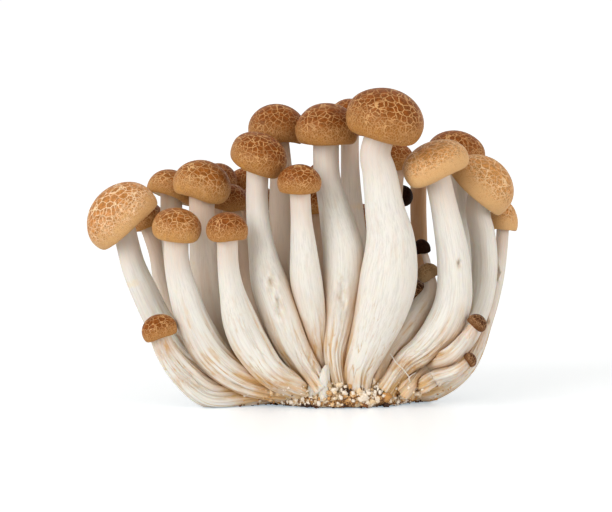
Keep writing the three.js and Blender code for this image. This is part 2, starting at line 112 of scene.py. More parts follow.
MUSHROOMS: tuple[Mushroom, ...] = (
    Mushroom("01", Tone.PALE, CapSpec(-43, 43.1, -8, 18.6, 11, -42, 8, 0.3),
             ((-43.5, 37, 2.9), (-42.3, 32.5, 3.1), (-40, 27, 3.4), (-35.8, 18.5, 3.6), (-29.4, 10, 3.7),
              (-20, 5, 3.9)), (-7.5, -6.5, 3.4)),
    Mushroom("02", Tone.BROWN, CapSpec(-35.6, 15.3, -21, 8.8, 5.6, -16, 6, 0.5),
             ((-34.4, 12, 2.7), (-30, 6, 3.3), (-23.6, 0.8, 3.6), (-15.5, 0.4, 3.4)), (-7, -14.5, 3)),
    Mushroom("03", Tone.TAN, CapSpec(-31.8, 39.8, -20.5, 12.8, 7.8, 7, 5, 0.75),
             ((-31.5, 34, 3), (-29.6, 25.5, 3.6), (-27, 18, 4.1), (-22.6, 10.6, 4.4), (-14.8, 5, 4.1)),
             (-1, -15.5, 3)),
    Mushroom("07", Tone.BROWN, CapSpec(-18.9, 39.8, -24, 10.2, 6.7, 0, 6, 0.5),
             ((-18.8, 33.5, 2.6), (-17.8, 26.5, 3.1), (-15.8, 19.2, 4.3), (-12.6, 12.6, 4.5), (-7, 6, 3.6)),
             (2, -16.5, 2.6)),
    Mushroom("10", Tone.BROWN, CapSpec(-12.3, 57.2, -14.5, 14.8, 9.4, 21, 6, 0.75),
             ((-11.4, 50, 2.8), (-11, 43, 3), (-10, 36, 3.6), (-8.6, 29.5, 4.6), (-6.2, 22.5, 5),
              (-3.4, 14.5, 4.6), (0.5, 7.5, 3.6)),
             (5, -17, 2.8), scars=((-7.9, 28.6, 1.5, 2.4), (-6.2, 22.4, 1.3, 3.4))),
    Mushroom("13", Tone.BROWN, CapSpec(-0.8, 51.6, -22, 10.8, 6.9, 0, 6, 0.6),
             ((-0.4, 45.5, 2.6), (0.2, 37.5, 3.3), (0.9, 29, 4), (2.4, 20, 3.5), (4, 11, 2.6)),
             (7.5, -13.5, 2.2)),
    Mushroom("12", Tone.BROWN, CapSpec(5.8, 63.8, -12.5, 16, 9.9, 0, 5, 0.65),
             ((5.9, 57, 3.1), (7, 51, 3.3), (8.8, 43.5, 4.2), (10.3, 36, 5), (10, 27.5, 4.7),
              (9, 18.5, 3.7), (8, 10.5, 2.8)), (9.5, -17.5, 2.3), scars=((9.7, 26.0, 1.7, 4.2),)),
    Mushroom("14", Tone.BROWN, CapSpec(19.5, 65.2, -22, 19.7, 12.3, 15, 8, 0.9),
             ((18.1, 61.5, 3.6), (19.2, 56, 4.1), (20.5, 47.5, 4.7), (22, 39, 5.9), (21.4, 29.5, 6.9),
              (19.2, 21, 6.2), (16.4, 13.5, 5), (13.8, 7, 4.2)), (13, -16.5, 3.3)),
    Mushroom("17", Tone.GOLD, CapSpec(33.9, 55.7, -15.5, 17.4, 8.6, -22, 7, 0.6),
             ((34.8, 50, 3.1), (36.3, 43, 3.5), (37.6, 35.5, 3.9), (38, 28, 4.2), (37.2, 22.5, 4.5),
              (34.4, 16.8, 4.5), (30.2, 12.2, 3.7), (25.6, 8.6, 3)),
             (20, -15.5, 2.6), scars=((38.9, 33.6, 0.6, 1.2),)),
    Mushroom("26", Tone.DARK, CapSpec(42.9, 17.8, -18.5, 5.2, 3.3, 38, 6, 0.5),
             ((40.6, 14.6, 2), (36.4, 10.8, 2.5), (31, 7.4, 2.6)), (25, -12, 2.6)),
    Mushroom("27", Tone.DARK, CapSpec(41.2, 9, -21, 3.8, 2.4, 58, 6, 0.5),
             ((38.6, 7.4, 1.4), (34, 5.4, 1.8)), (25.5, -11, 2.3), pin=True),
    Mushroom("05", Tone.TAN, CapSpec(-25.9, 50.3, -8.5, 14.1, 9.3, 13, 6, 0.8),
             ((-25.3, 44, 3.1), (-24.8, 36, 3.4), (-24.2, 27, 4), (-22.3, 18, 4.2), (-17, 9.5, 4.1),
              (-10, 4.5, 3.6)), (-5, -8, 3), brown=0.35),
    Mushroom("06", Tone.BROWN, CapSpec(-38.4, 42.5, 10, 9.4, 7, -18, -6, 0.3),
             ((-36.4, 36.5, 2.1), (-35, 29, 2.3), (-32, 19.5, 2.6), (-25, 9.5, 3)),
             (-10, 4, 2.8), brown=0.35),
    Mushroom("04", Tone.TAN, CapSpec(-33.7, 50, 2.5, 12.6, 7.2, 20, -9, 0.35),
             ((-32.8, 44.5, 2.8), (-32.2, 36, 2.8), (-29.8, 24.5, 3), (-24.5, 14.5, 3.2), (-16, 7, 3.2)),
             (-9, 0, 2.8), brown=0.2),
    Mushroom("30", Tone.BROWN, CapSpec(-18.6, 47.2, 0.5, 9.8, 6.4, 6, 0, 0.5),
             ((-16.8, 41.5, 2.3), (-15.4, 35, 2.6), (-13.6, 27.5, 3), (-10.8, 18.5, 3.2), (-5.6, 8.5, 3)),
             (-1, -12, 2.6), brown=0.6),
    Mushroom("31", Tone.BROWN, CapSpec(-11.4, 47, 8.5, 9.4, 6.2, 0, 0, 0.5),
             ((-11, 40, 2.3), (-9.4, 28, 2.6), (-5.5, 14, 2.9)), (1.5, 0, 2.6), brown=0.6),
    Mushroom("11", Tone.BROWN, CapSpec(-6.8, 64, -1.5, 13.8, 9.5, 3, 2, 0.6),
             ((-5.4, 56.5, 2.8), (-5.4, 48, 3), (-5, 38, 3.3), (-3.8, 26, 3.6), (-0.5, 13, 3.4)),
             (5, -9, 2.8), brown=0.5),
    Mushroom("15", Tone.BROWN, CapSpec(11.6, 65.6, 3, 11.8, 9.2, 0, 0, 0.6),
             ((11.7, 58, 2.4), (12.2, 48.5, 2.8), (13.2, 38, 3), (13.6, 24, 3.3), (13, 12, 3.2)),
             (12, -8, 2.8), brown=0.25),
    Mushroom("16", Tone.BROWN, CapSpec(23.4, 57, 1.5, 9.4, 6.8, -4, 0, 0.5),
             ((22.6, 50.5, 2.2), (21.8, 40, 2.5), (21, 28, 2.9), (20, 14, 3)), (19, -6, 2.8), brown=0.5),
    Mushroom("19", Tone.GOLD, CapSpec(42.8, 51.2, -3, 17.6, 9.8, 40, 8, 0.15),
             ((43.6, 47.5, 3), (45, 40, 3.3), (45.4, 32, 3.3), (44, 23.5, 3.3), (39.5, 14.5, 3.6),
              (32.5, 7.5, 3.6)), (25.5, -9, 3)),
    Mushroom("24", Tone.GREY, CapSpec(31.9, 29.9, -9, 5.4, 4, -28, 0, 0.5),
             ((32, 27, 1.8), (29.8, 22.8, 2.8), (26, 17.5, 3.8), (21.3, 11.5, 4.1)),
             (17, -15.5, 3.4), pin=True),
    # Caps 23 and 21 take the near-black tone of painted shade.
    Mushroom("23", Tone.BLACK, CapSpec(30, 36.2, 0, 4.4, 3.6, -14, 0, 0.5),
             ((31.2, 33, 0.9), (31, 24, 1.3), (28, 12, 1.7)), (24, -3, 2), pin=True),
    Mushroom("08", Tone.BROWN, CapSpec(-21.6, 52, 9, 9.4, 6.8, 12, -5, 0.6),
             ((-20.6, 46, 2.3), (-19, 35, 2.7), (-15.5, 20, 3.1), (-9.5, 8.5, 3.1)),
             (-4, 7, 2.8), brown=0.6),
    Mushroom("09", Tone.BROWN, CapSpec(-14.2, 51.6, 18, 9.2, 6, 0, -6, 0.6),
             ((-13.6, 45, 2.4), (-12, 30, 2.8), (-7, 13, 3.1)), (0, 11, 2.8), brown=0.6),
    Mushroom("34", Tone.BROWN, CapSpec(3.6, 46.4, 2.5, 8.6, 6.2, -4, 0, 0.5),
             ((4, 39, 2.3), (5, 26, 2.7), (6.8, 13, 2.9)), (8, -2, 2.6), brown=0.7),
    Mushroom("35", Tone.BROWN, CapSpec(5, 53.4, 12, 8.2, 5.8, 0, -6, 0.6),
             ((5.2, 46, 2.4), (6.4, 32, 2.9), (8, 16, 3.3)), (9, 8, 3), brown=0.7),
    Mushroom("21", Tone.BLACK, CapSpec(23.9, 50.2, 8, 5.6, 3.6, 68, 0, 0.5),
             ((20.6, 47, 1.4), (19.6, 36, 1.7), (18.8, 18, 2)), (18, 3.5, 2.2), pin=True),
    Mushroom("22", Tone.BROWN, CapSpec(28.8, 55.2, 17, 8.8, 6.2, 4, -4, 0.6),
             ((28.8, 48, 2.1), (29.1, 38, 2.1), (29, 28, 2.3), (27, 14, 2.6)), (22.5, 10, 2.6), brown=0.95),
    Mushroom("18", Tone.BROWN, CapSpec(37.5, 58, 8.6, 14.4, 8.9, 4, -3, 0.5),
             ((38.6, 50, 2.7), (40, 40, 2.8), (39.6, 27.5, 3), (34.5, 14.5, 3.2)), (25.5, 3, 2.8)),
    Mushroom("20", Tone.GOLD, CapSpec(49.9, 42, 4, 7.4, 7.2, 2, -4, 0.3),
             ((49.6, 38, 1.5), (48.9, 30.5, 1.4), (47.4, 23.4, 1.4), (45.6, 18, 1.6), (43.6, 12.8, 2.1),
              (40.8, 8.3, 2.7), (36.4, 4.7, 3.2), (31, 2.2, 3.5)),
             (25, -12, 3.1), scars=((48.6, 31.5, 0.7, 2.6), (45.9, 19.2, 0.9, 1.7))),
    Mushroom("25", Tone.DARK, CapSpec(27.4, 24.2, 3, 7.6, 5.6, 4, 4, 0.6),
             ((26.6, 18, 2.3), (25, 11, 2.6)), (22, 5, 2.6), pin=True, brown=0.9),
    Mushroom("28", Tone.BROWN, CapSpec(14.5, 41, 16.5, 11.6, 7.6, 4, -14, 0.5),
             ((14.4, 34, 3), (14.2, 24, 3.5), (14.2, 12, 3.6)), (14.5, 11, 3.2), brown=0.5),
)

# Torn ochre tissue as seen: x, z, half width and half height.
STAINS: tuple[tuple[float, float, float, float], ...] = (
    (-9.0, 3.0, 6.0, 2.6), (25.8, 7.4, 5.4, 2.6), (-34.8, 12.0, 1.5, 2.2),
    (-30.5, 4.0, 1.6, 1.6), (33.0, 10.6, 4.0, 0.8), (2.9, 10.5, 1.4, 4.5),
)

# What the flesh reads from a mesh besides the grain, as shares from 0 to 1.
FLESH_SHARES = ("top", "crowd", "crease", "brown", "foot", "low", "scar", "stain")


def chance(seed: float, step: np.ndarray | float) -> np.ndarray | float:
    """A number from -1 to 1 that is always the same for the same seed and step."""
    value = np.sin(seed * 12.9898 + np.asarray(step, dtype=float) * 78.233) * 43758.5453
    return 2 * (value - np.floor(value)) - 1


def depth_scale(y: float) -> float:
    """How much larger a thing at depth y is than it is seen in the plane y = 0."""
    return (y - EYE[1]) / -EYE[1]


def at_depth(x: float, z: float, y: float) -> np.ndarray:
    """Carries a point seen at x, z in the plane y = 0 along the line of sight to depth y."""
    k = depth_scale(y)
    return np.array([EYE[0] + (x - EYE[0]) * k, y, EYE[2] + (z - EYE[2]) * k])


def as_seen(points: np.ndarray) -> tuple[np.ndarray, np.ndarray]:
    """Where points of any depth are seen in the plane y = 0, as their x and their z."""
    k = depth_scale(points[..., 1])
    return EYE[0] + (points[..., 0] - EYE[0]) / k, EYE[2] + (points[..., 2] - EYE[2]) / k


def turns(count: int) -> np.ndarray:
    """The angles of evenly spaced columns, once round."""
    return 2 * math.pi * np.arange(count) / count


def ring_points(reach: np.ndarray, turn: np.ndarray, height: np.ndarray | float) -> np.ndarray:
    """Points round the Z axis, by how far out, at which angle and how high they are."""
    return np.stack(np.broadcast_arrays(reach * np.cos(turn), reach * np.sin(turn), height), axis=-1)


def curve_through(rows: np.ndarray, t: np.ndarray) -> np.ndarray:
    """A smooth curve through rows of numbers.

    Args:
        rows: one row for each point that the curve passes through.
        t: places along it, from 0 at the first row to 1 at the last.

    Returns:
        One row for each place.
    """
    span = np.clip(t, 0, 1) * (len(rows) - 1)
    i = np.minimum(span.astype(int), len(rows) - 2)
    f = (span - i)[:, None]
    a, b, c, d = (rows[np.clip(i + k, 0, len(rows) - 1)] for k in (-1, 0, 1, 2))
    slope = (c - a) * f
    bend = (2 * a - 5 * b + 4 * c - d) * f**2
    twist = (3 * b - a - 3 * c + d) * f**3
    return b + 0.5 * (slope + bend + twist)


def even_rows(rows: np.ndarray, count: int) -> np.ndarray:
    """The curve through rows, evenly spaced along its length.

    Args:
        rows: one row for each point that the curve passes through, place first.
        count: how many rows to give.

    Returns:
        The rows along the curve.
    """
    fine = curve_through(rows, np.linspace(0, 1, 201))
    steps = np.linalg.norm(np.diff(fine[:, :3], axis=0), axis=1)
    run = np.concatenate([[0.0], np.cumsum(steps)])
    want = np.linspace(0, run[-1], count)
    return np.stack([np.interp(want, run, fine[:, n]) for n in range(fine.shape[1])], axis=1)


@dataclass(frozen=True)
class Place:
    """Where a cap sits: the middle of its rim, its axis, and its real radius and height."""

    rim: np.ndarray
    axis: np.ndarray
    radius: float
    high: float

    @classmethod
    def of(cls, cap: CapSpec) -> Place:
        """The place of a cap.

        Args:
            cap: the cap as seen.

        Returns:
            Its place, with its real size at its depth.
        """
        k = depth_scale(cap.y)
        across, forward = math.radians(cap.lean), math.radians(cap.nod)
        level = math.cos(forward)
        axis = np.array([math.sin(across) * level, -math.sin(forward), math.cos(across) * level])
        return cls(at_depth(cap.x, cap.z, cap.y), axis, cap.wide / 2 * k, cap.high * k)

    def to_world(self, points: np.ndarray) -> np.ndarray:
        """Turns points from the cap's own frame, +Z along its axis, and moves them to its rim."""
        turn = Vector((0, 0, 1)).rotation_difference(Vector(self.axis)).to_matrix()
        return points @ np.array(turn).T + self.rim


def smooth_step(value: np.ndarray, low: float, high: float) -> np.ndarray:
    """0 below low, 1 above high, and a smooth rise between."""
    t = np.clip((value - low) / (high - low), 0, 1)
    return t * t * (3 - 2 * t)


@dataclass
class Layout:
    """The middle lines of all stalks, settled so that they crowd against each other without crossing."""

    samples: int = 36
    rounds: int = 30
    loose: float = 1.04
    crowded: float = 0.62
    share: float = 0.32
    cap_share: float = 0.9
    dome_at: float = 0.35
    root_height: float = 3.6
    into_cap: float = 0.34
    top_share: float = 0.56
    even: int = 5
    lines: list[np.ndarray] = field(default_factory=list)

    def line_of(self, mushroom: Mushroom) -> np.ndarray:
        """The middle line of one stalk, from the base up into the cap.

        Args:
            mushroom: whose stalk it is.

        Returns:
            Rows of x, y, z and radius.
        """
        place = Place.of(mushroom.cap)
        top = place.rim + place.axis * place.high * self.into_cap
        root_x, root_y, root_radius = mushroom.root
        seen = mushroom.stalk[::-1]
        flat = [(root_x, self.root_height), *[(x, z) for x, z, _ in seen], (mushroom.cap.x, mushroom.cap.z)]
        run = np.concatenate([[0.0], np.cumsum(np.linalg.norm(np.diff(np.array(flat), axis=0), axis=1))])
        rows = [[root_x, root_y, self.root_height, root_radius]]
        for (x, z, radius), along in zip(seen, run[1:-1] / run[-1]):
            y = root_y + (mushroom.cap.y - root_y) * along
            rows.append([*at_depth(x, z, y), radius * depth_scale(y)])
        rows.append([*top, min(rows[-1][3], place.radius * self.top_share)])
        return even_rows(np.array(rows, dtype=float), self.samples)

    def settle(self, mushrooms: tuple[Mushroom, ...]) -> None:
        """Makes the middle lines, and shifts them in depth until they are clear of each other and the caps.

        Args:
            mushrooms: all mushrooms of the clump, in the order that their lines then have.
        """
        self.lines = [self.line_of(mushroom) for mushroom in mushrooms]
        caps = []
        for mushroom in mushrooms:
            place = Place.of(mushroom.cap)
            caps.append([*(place.rim + place.axis * place.high * self.dome_at), place.radius])
        domes = np.array(caps)
        count, last = len(self.lines), self.samples - 1
        rows = np.stack(self.lines)
        height = np.tile(np.arange(self.samples) / last, (count, 1))
        spread = self.crowded + (self.loose - self.crowded) * np.minimum(1, height * 1.6)
        owner = np.repeat(np.arange(count), self.samples)
        for _ in range(self.rounds):
            flat = rows.reshape(-1, 4)
            back, forth = self._pushes(flat, flat, spread.reshape(-1), owner, owner)
            cap_back, cap_forth = self._pushes(
                flat, domes, np.full(len(flat), self.cap_share), owner, np.arange(count)
            )
            shift = (np.maximum(back, cap_back) - np.maximum(forth, cap_forth)).reshape(count, self.samples)
            shift *= self.share * np.minimum(1, (1 - height) * 8)
            near = [np.clip(np.arange(self.samples) + k, 0, last) for k in range(-2, 3)]
            rows[:, :, 1] += sum(shift[:, places] for places in near) / len(near)
        self.lines = [self._even(line) for line in rows]

    def _even(self, line: np.ndarray) -> np.ndarray:
        """Evens out the depths along a middle line, all but those of its two ends.

        Args:
            line: rows of x, y, z and radius, whose depths are changed in place.

        Returns:
            The same rows.
        """
        depths = line[:, 1].copy()
        for a in range(len(line)):
            reach = min(self.even, a, len(line) - 1 - a)
            weights = reach + 1 - np.abs(np.arange(-reach, reach + 1))
            line[a, 1] = (depths[a - reach:a + reach + 1] * weights).sum() / weights.sum()
        return line

    @staticmethod
    def _pushes(rows: np.ndarray, others: np.ndarray, share: np.ndarray, owner: np.ndarray,
                other_owner: np.ndarray) -> tuple[np.ndarray, np.ndarray]:
        """How far each row is pushed back and forth in depth by balls that reach into it.

        Args:
            rows: x, y, z and radius of each ball on a middle line.
            others: the same of the balls that push.
            share: the share of both radii that has to stay between the middles.
            owner: the mushroom that each row belongs to.
            other_owner: the mushroom that each pushing ball belongs to.

        Returns:
            The largest push back and the largest push forth for each row.
        """
        need = share[:, None] * (rows[:, None, 3] + others[None, :, 3])
        apart = (rows[:, None, 0] - others[None, :, 0]) ** 2 + (rows[:, None, 2] - others[None, :, 2]) ** 2
        gap = rows[:, None, 1] - others[None, :, 1]
        missing = np.sqrt(np.maximum(need**2 - apart, 0)) - np.abs(gap)
        same = owner[:, None] == other_owner[None, :]
        missing = np.where(same | (apart >= need**2), 0, np.maximum(missing, 0))
        behind = (gap > 0) | ((gap == 0) & (owner[:, None] > other_owner[None, :]))
        return np.where(behind, missing, 0).max(axis=1), np.where(behind, 0, missing).max(axis=1)


@dataclass
class Shell:
    """Vertices in millimetres, faces, and values for each vertex, gathered before they become a mesh."""

    points: np.ndarray
    faces: list[tuple[int, ...]]
    values: dict[str, np.ndarray] = field(default_factory=dict)

    @classmethod
    def of_rings(cls, first: np.ndarray, rings: np.ndarray, last: np.ndarray) -> Shell:
        """A closed shell from rings of points between two end points.

        Args:
            first: the point that closes the first ring.
            rings: an array of rings, columns and three coordinates.
            last: the point that closes the last ring.

        Returns:
            The shell, with its faces pointing out where the rings turn left about the way they run.
        """
        count, columns, _ = rings.shape
        points = np.concatenate([first[None], rings.reshape(-1, 3), last[None]])
        column = np.arange(columns)
        after = (column + 1) % columns
        ring = np.arange(count - 1)[:, None] * columns + 1
        above = ring + columns
        quads = np.stack([ring + column, ring + after, above + after, above + column], axis=-1)
        end = len(points) - 1
        base = 1 + (count - 1) * columns
        faces = [(0, int(1 + b), int(1 + a)) for a, b in zip(column, after)]
        faces += [tuple(quad) for quad in quads.reshape(-1, 4).tolist()]
        faces += [(int(base + a), int(base + b), end) for a, b in zip(column, after)]
        return cls(points, faces)

    def to_object(self, name: str, material: bpy.types.Material) -> bpy.types.Object:
        """Makes the shell a smooth mesh object in the scene.

        Args:
            name: the object's name.
            material: what it is dressed in.

        Returns:
            The new object.
        """
        mesh = bpy.data.meshes.new(name)
        mesh.from_pydata((self.points * MM).tolist(), [], self.faces)
        mesh.polygons.foreach_set("use_smooth", np.ones(len(mesh.polygons), dtype=bool))
        for label, value in self.values.items():
            kind, entry = ("FLOAT", "value") if value.ndim == 1 else ("FLOAT_VECTOR", "vector")
            layer = mesh.attributes.new(label, kind, "POINT")
            layer.data.foreach_set(entry, value.astype(np.float32).ravel())
        mesh.materials.append(material)
        mesh.update()
        made = bpy.data.objects.new(name, mesh)
        bpy.context.scene.collection.objects.link(made)
        return made


class Nodes:
    """A node tree, with one short method for each kind of node that the finishes use."""

    def __init__(self, tree: bpy.types.NodeTree) -> None:
        """Works on the given tree."""
        self.tree = tree

    def feed(self, socket: Socket, value: Socket | float | Colour) -> None:
        """Links a socket to another, or sets its value.

        Args:
            socket: the input that is fed.
            value: an output, a number or a colour.
        """
        if isinstance(value, bpy.types.NodeSocket):
            self.tree.links.new(value, socket)
        elif isinstance(value, tuple) and len(socket.default_value) == 4:
            socket.default_value = (*value, 1.0)
        else:
            socket.default_value = value

    def attribute(self, name: str, vector: bool = False) -> Socket:
        """A value that the mesh holds for each vertex.

        Args:
            name: what the mesh calls it.
            vector: whether it is three numbers.

        Returns:
            The value.
        """
        node = self.tree.nodes.new("ShaderNodeAttribute")
        node.attribute_name = name
        return node.outputs["Vector" if vector else "Fac"]

    def math(self, kind: str, a: Socket | float, b: Socket | float = 0.0) -> Socket:
        """Arithmetic on one or two values.

        Args:
            kind: Blender's word for the operation.
            a: the first value.
            b: the second value, if the operation has one.

        Returns:
            The result.
        """
        node = self.tree.nodes.new("ShaderNodeMath")
        node.operation = kind
        for socket, value in zip(node.inputs, (a, b)):
            self.feed(socket, value)
        return node.outputs[0]

    def times(self, a: Socket | float, b: Socket | float) -> Socket:
        """One value times another."""
        return self.math("MULTIPLY", a, b)

    def plus(self, a: Socket | float, b: Socket | float) -> Socket:
        """The sum of two values."""
        return self.math("ADD", a, b)

    def less(self, a: Socket | float, b: Socket | float) -> Socket:
        """The first value less the second."""
        return self.math("SUBTRACT", a, b)

    def larger(self, a: Socket | float, b: Socket | float) -> Socket:
        """The larger of two values."""
        return self.math("MAXIMUM", a, b)

    def scaled(self, vector: Socket, by: float | Colour) -> Socket:
        """A vector times a factor.

        Args:
            vector: the vector.
            by: one factor, or one for each axis.

        Returns:
            The longer or shorter vector.
        """
        node = self.tree.nodes.new("ShaderNodeVectorMath")
        node.operation = "MULTIPLY"
        self.feed(node.inputs[0], vector)
        node.inputs[1].default_value = by if isinstance(by, tuple) else (by, by, by)
        return node.outputs[0]

    def moved(self, vector: Socket, by: Socket) -> Socket:
        """The sum of two vectors.

        Args:
            vector: the first vector.
            by: the second vector.

        Returns:
            The sum.
        """
        node = self.tree.nodes.new("ShaderNodeVectorMath")
        node.operation = "ADD"
        self.feed(node.inputs[0], vector)
        self.feed(node.inputs[1], by)
        return node.outputs[0]

    def noise(self, vector: Socket, scale: float, detail: float = 3.0, rough: float = 0.55,
              colour: bool = False) -> Socket:
        """Cloudy noise at a place.

        Args:
            vector: the place.
            scale: how many clouds fit in one unit.
            detail: how many finer layers it has.
            rough: how strong those are.
            colour: whether the result is a colour.

        Returns:
            The noise, as one value or as a colour.
        """
        node = self.tree.nodes.new("ShaderNodeTexNoise")
        self.feed(node.inputs["Vector"], vector)
        node.inputs["Scale"].default_value = scale
        node.inputs["Detail"].default_value = detail
        node.inputs["Roughness"].default_value = rough
        return node.outputs["Color" if colour else "Fac"]

    def cells(self, vector: Socket, scale: float, edge: bool = True, random: float = 1.0) -> Socket:
        """Random cells round a place.

        Args:
            vector: the place.
            scale: how many cells fit in one unit.
            edge: whether the distance is that to the cell's edge, else to its middle.
            random: how irregular the cells are.

        Returns:
            The distance.
        """
        node = self.tree.nodes.new("ShaderNodeTexVoronoi")
        node.feature = "DISTANCE_TO_EDGE" if edge else "F1"
        self.feed(node.inputs["Vector"], vector)
        node.inputs["Scale"].default_value = scale
        node.inputs["Randomness"].default_value = random
        return node.outputs["Distance"]

    def ramp(self, value: Socket, low: float, high: float, out_low: float = 0.0,
             out_high: float = 1.0) -> Socket:
        """Maps a value smoothly, and holds the ends.

        Args:
            value: what is mapped.
            low: where the rise starts.
            high: where it ends.
            out_low: the result up to low.
            out_high: the result from high on.

        Returns:
            The mapped value.
        """
        node = self.tree.nodes.new("ShaderNodeMapRange")
        node.interpolation_type = "SMOOTHSTEP"
        ends = {"From Min": low, "From Max": high, "To Min": out_low, "To Max": out_high}
        for label, number in ends.items():
            node.inputs[label].default_value = number
        self.feed(node.inputs["Value"], value)
        return node.outputs["Result"]

    def mix(self, share: Socket | float, a: Socket | Colour, b: Socket | Colour) -> Socket:
        """A colour between a and b.

        Args:
            share: 0 for a and 1 for b.
            a: the first colour.
            b: the second colour.

        Returns:
            The mixed colour.
        """
        node = self.tree.nodes.new("ShaderNodeMix")
        node.data_type = "RGBA"
        self.feed(node.inputs["Factor"], share)
        colours = [socket for socket in node.inputs if socket.type == "RGBA"]
        self.feed(colours[0], a)
        self.feed(colours[1], b)
        return next(socket for socket in node.outputs if socket.type == "RGBA")

    def light_path(self, kind: str) -> Socket:
        """1 for rays of the given kind, and otherwise 0."""
        return self.tree.nodes.new("ShaderNodeLightPath").outputs[f"Is {kind} Ray"]


class Skin(Nodes):
    """A material with a principled shader."""

    def __init__(self, name: str) -> None:
        """Starts the material.

        Args:
            name: the material's name.
        """
        self.material = bpy.data.materials.new(name)
        self.material.use_nodes = True
        super().__init__(self.material.node_tree)
        self.shader = next(n for n in self.tree.nodes if n.type == "BSDF_PRINCIPLED")

    def bump(self, height: Socket, depth_mm: float, strength: float = 1.0) -> None:
        """Gives the surface a fine relief.

        Args:
            height: how high each place is, from 0 to 1.
            depth_mm: what a height of 1 measures.
            strength: how strongly it shows.
        """
        node = self.tree.nodes.new("ShaderNodeBump")
        node.inputs["Strength"].default_value = strength
        node.inputs["Distance"].default_value = depth_mm * MM
        self.feed(node.inputs["Height"], height)
        self.feed(self.shader.inputs["Normal"], node.outputs["Normal"])

    def set(self, **sockets: Socket | float | Colour) -> None:
        """Sets the shader's sockets by name, with _ for a space."""
        for label, value in sockets.items():
            self.feed(self.shader.inputs[label.replace("_", " ")], value)

    def dull(self, level: float) -> None:
        """Sets how much the surface mirrors."""
        self.shader.inputs["Specular IOR Level"].default_value = level

    def soften(self, weight: float, reach_mm: float, colour: Colour) -> None:
        """Lets light travel under the surface.

        Args:
            weight: the share of light that does.
            reach_mm: how far it travels.
            colour: how far red, green and blue light travel, as shares of reach_mm.
        """
        self.shader.inputs["Subsurface Weight"].default_value = weight
        self.shader.inputs["Subsurface Radius"].default_value = colour
        self.shader.inputs["Subsurface Scale"].default_value = reach_mm * MM


@dataclass(frozen=True)
class CapFinish:
    """Cap skin: brown plates with a cream net between them, then dots, then a plain tan rim.

    The scales say how many plates, small plates and dots there are, and crack how wide the net's lines are.
    """

    tone: Tone
    plate_scale: float = 3.5
    small_plates: float = 1.9
    dots: float = 4.2
    crack: float = 0.085
    darkest: float = 0.72
    brightest: float = 1.25
    rim_shade: float = 0.88
    roughness: float = 0.42
    relief: float = 0.12
    gill: Colour = (0.80, 0.68, 0.48)

    def wide_rim(self) -> float:
        """How much sooner the net ends on a golden cap, and how much later on a brown one."""
        return {Tone.GOLD: 0.10, Tone.TAN: -0.06, Tone.BROWN: -0.14}.get(self.tone, 0.0)

    def make(self) -> bpy.types.Material:
        """Reads net (place in the pattern), rim (0 top to 1 edge) and under (1 on gills) from the mesh.

        Returns:
            The material, in the colours of its tone.
        """
        n = Skin(f"cap_{self.tone.name.lower()}")
        plate, cream, tan = self.tone.value
        net, rim, under = n.attribute("net", vector=True), n.attribute("rim"), n.attribute("under")
        warp = n.noise(net, 4.0, 3, colour=True)
        place = n.moved(net, n.scaled(warp, 0.16))
        other = n.moved(net, n.scaled(warp, -0.10))
        patchy = n.less(n.noise(net, 2.1, 3), 0.5)
        zone = n.plus(n.plus(rim, self.wide_rim()), n.times(patchy, 0.6))
        large = n.ramp(n.cells(place, self.plate_scale), 0.008, self.crack, 1.0, 0.0)
        fine = n.cells(other, self.plate_scale * self.small_plates)
        small = n.ramp(fine, 0.010, self.crack * 1.3, 1.0, 0.0)
        bold = n.ramp(n.noise(net, 1.6, 2), 0.36, 0.58, 0.45, 1.0)
        large = n.times(n.times(large, bold), n.ramp(zone, 0.66, 0.92, 1.0, 0.25))
        small = n.times(small, n.ramp(zone, 0.42, 0.74, 0.10, 0.7))
        cracks = n.larger(large, small)
        cloud = n.noise(net, 6.0, 4, 0.6)
        darker = tuple(c * self.darkest for c in plate)
        brighter = tuple(min(1.0, c * self.brightest) for c in plate)
        brown = n.mix(n.ramp(cloud, 0.34, 0.68), darker, brighter)
        brown = n.mix(n.ramp(rim, 0.5, 1.0, 0.0, 0.5), brown, tan)
        plated = n.mix(cracks, brown, cream)
        dots = n.ramp(n.cells(other, self.plate_scale * self.dots, edge=False), 0.22, 0.52, 1.0, 0.0)
        dotted = n.mix(n.times(dots, n.ramp(zone, 0.86, 1.10, 0.7, 0.0)), tan, plate)
        plain = n.mix(n.ramp(n.noise(net, 12, 3), 0.35, 0.7), tuple(c * self.rim_shade for c in tan), tan)
        rimmed = n.mix(n.ramp(zone, 0.98, 1.10), dotted, plain)
        skin = n.mix(n.ramp(zone, 0.74, 0.96), plated, rimmed)
        n.set(Base_Color=n.mix(under, skin, self.gill), Roughness=self.roughness)
        # The near-black caps of painted shade mirror less.
        n.dull(0.03 if self.tone is Tone.BLACK else 0.11)
        height = n.less(n.times(cloud, 0.3), n.times(cracks, 0.6))
        n.bump(height, self.relief, strength=0.5)
        n.soften(weight=0.10, reach_mm=1.0, colour=(1.0, 0.42, 0.16))
        return n.material


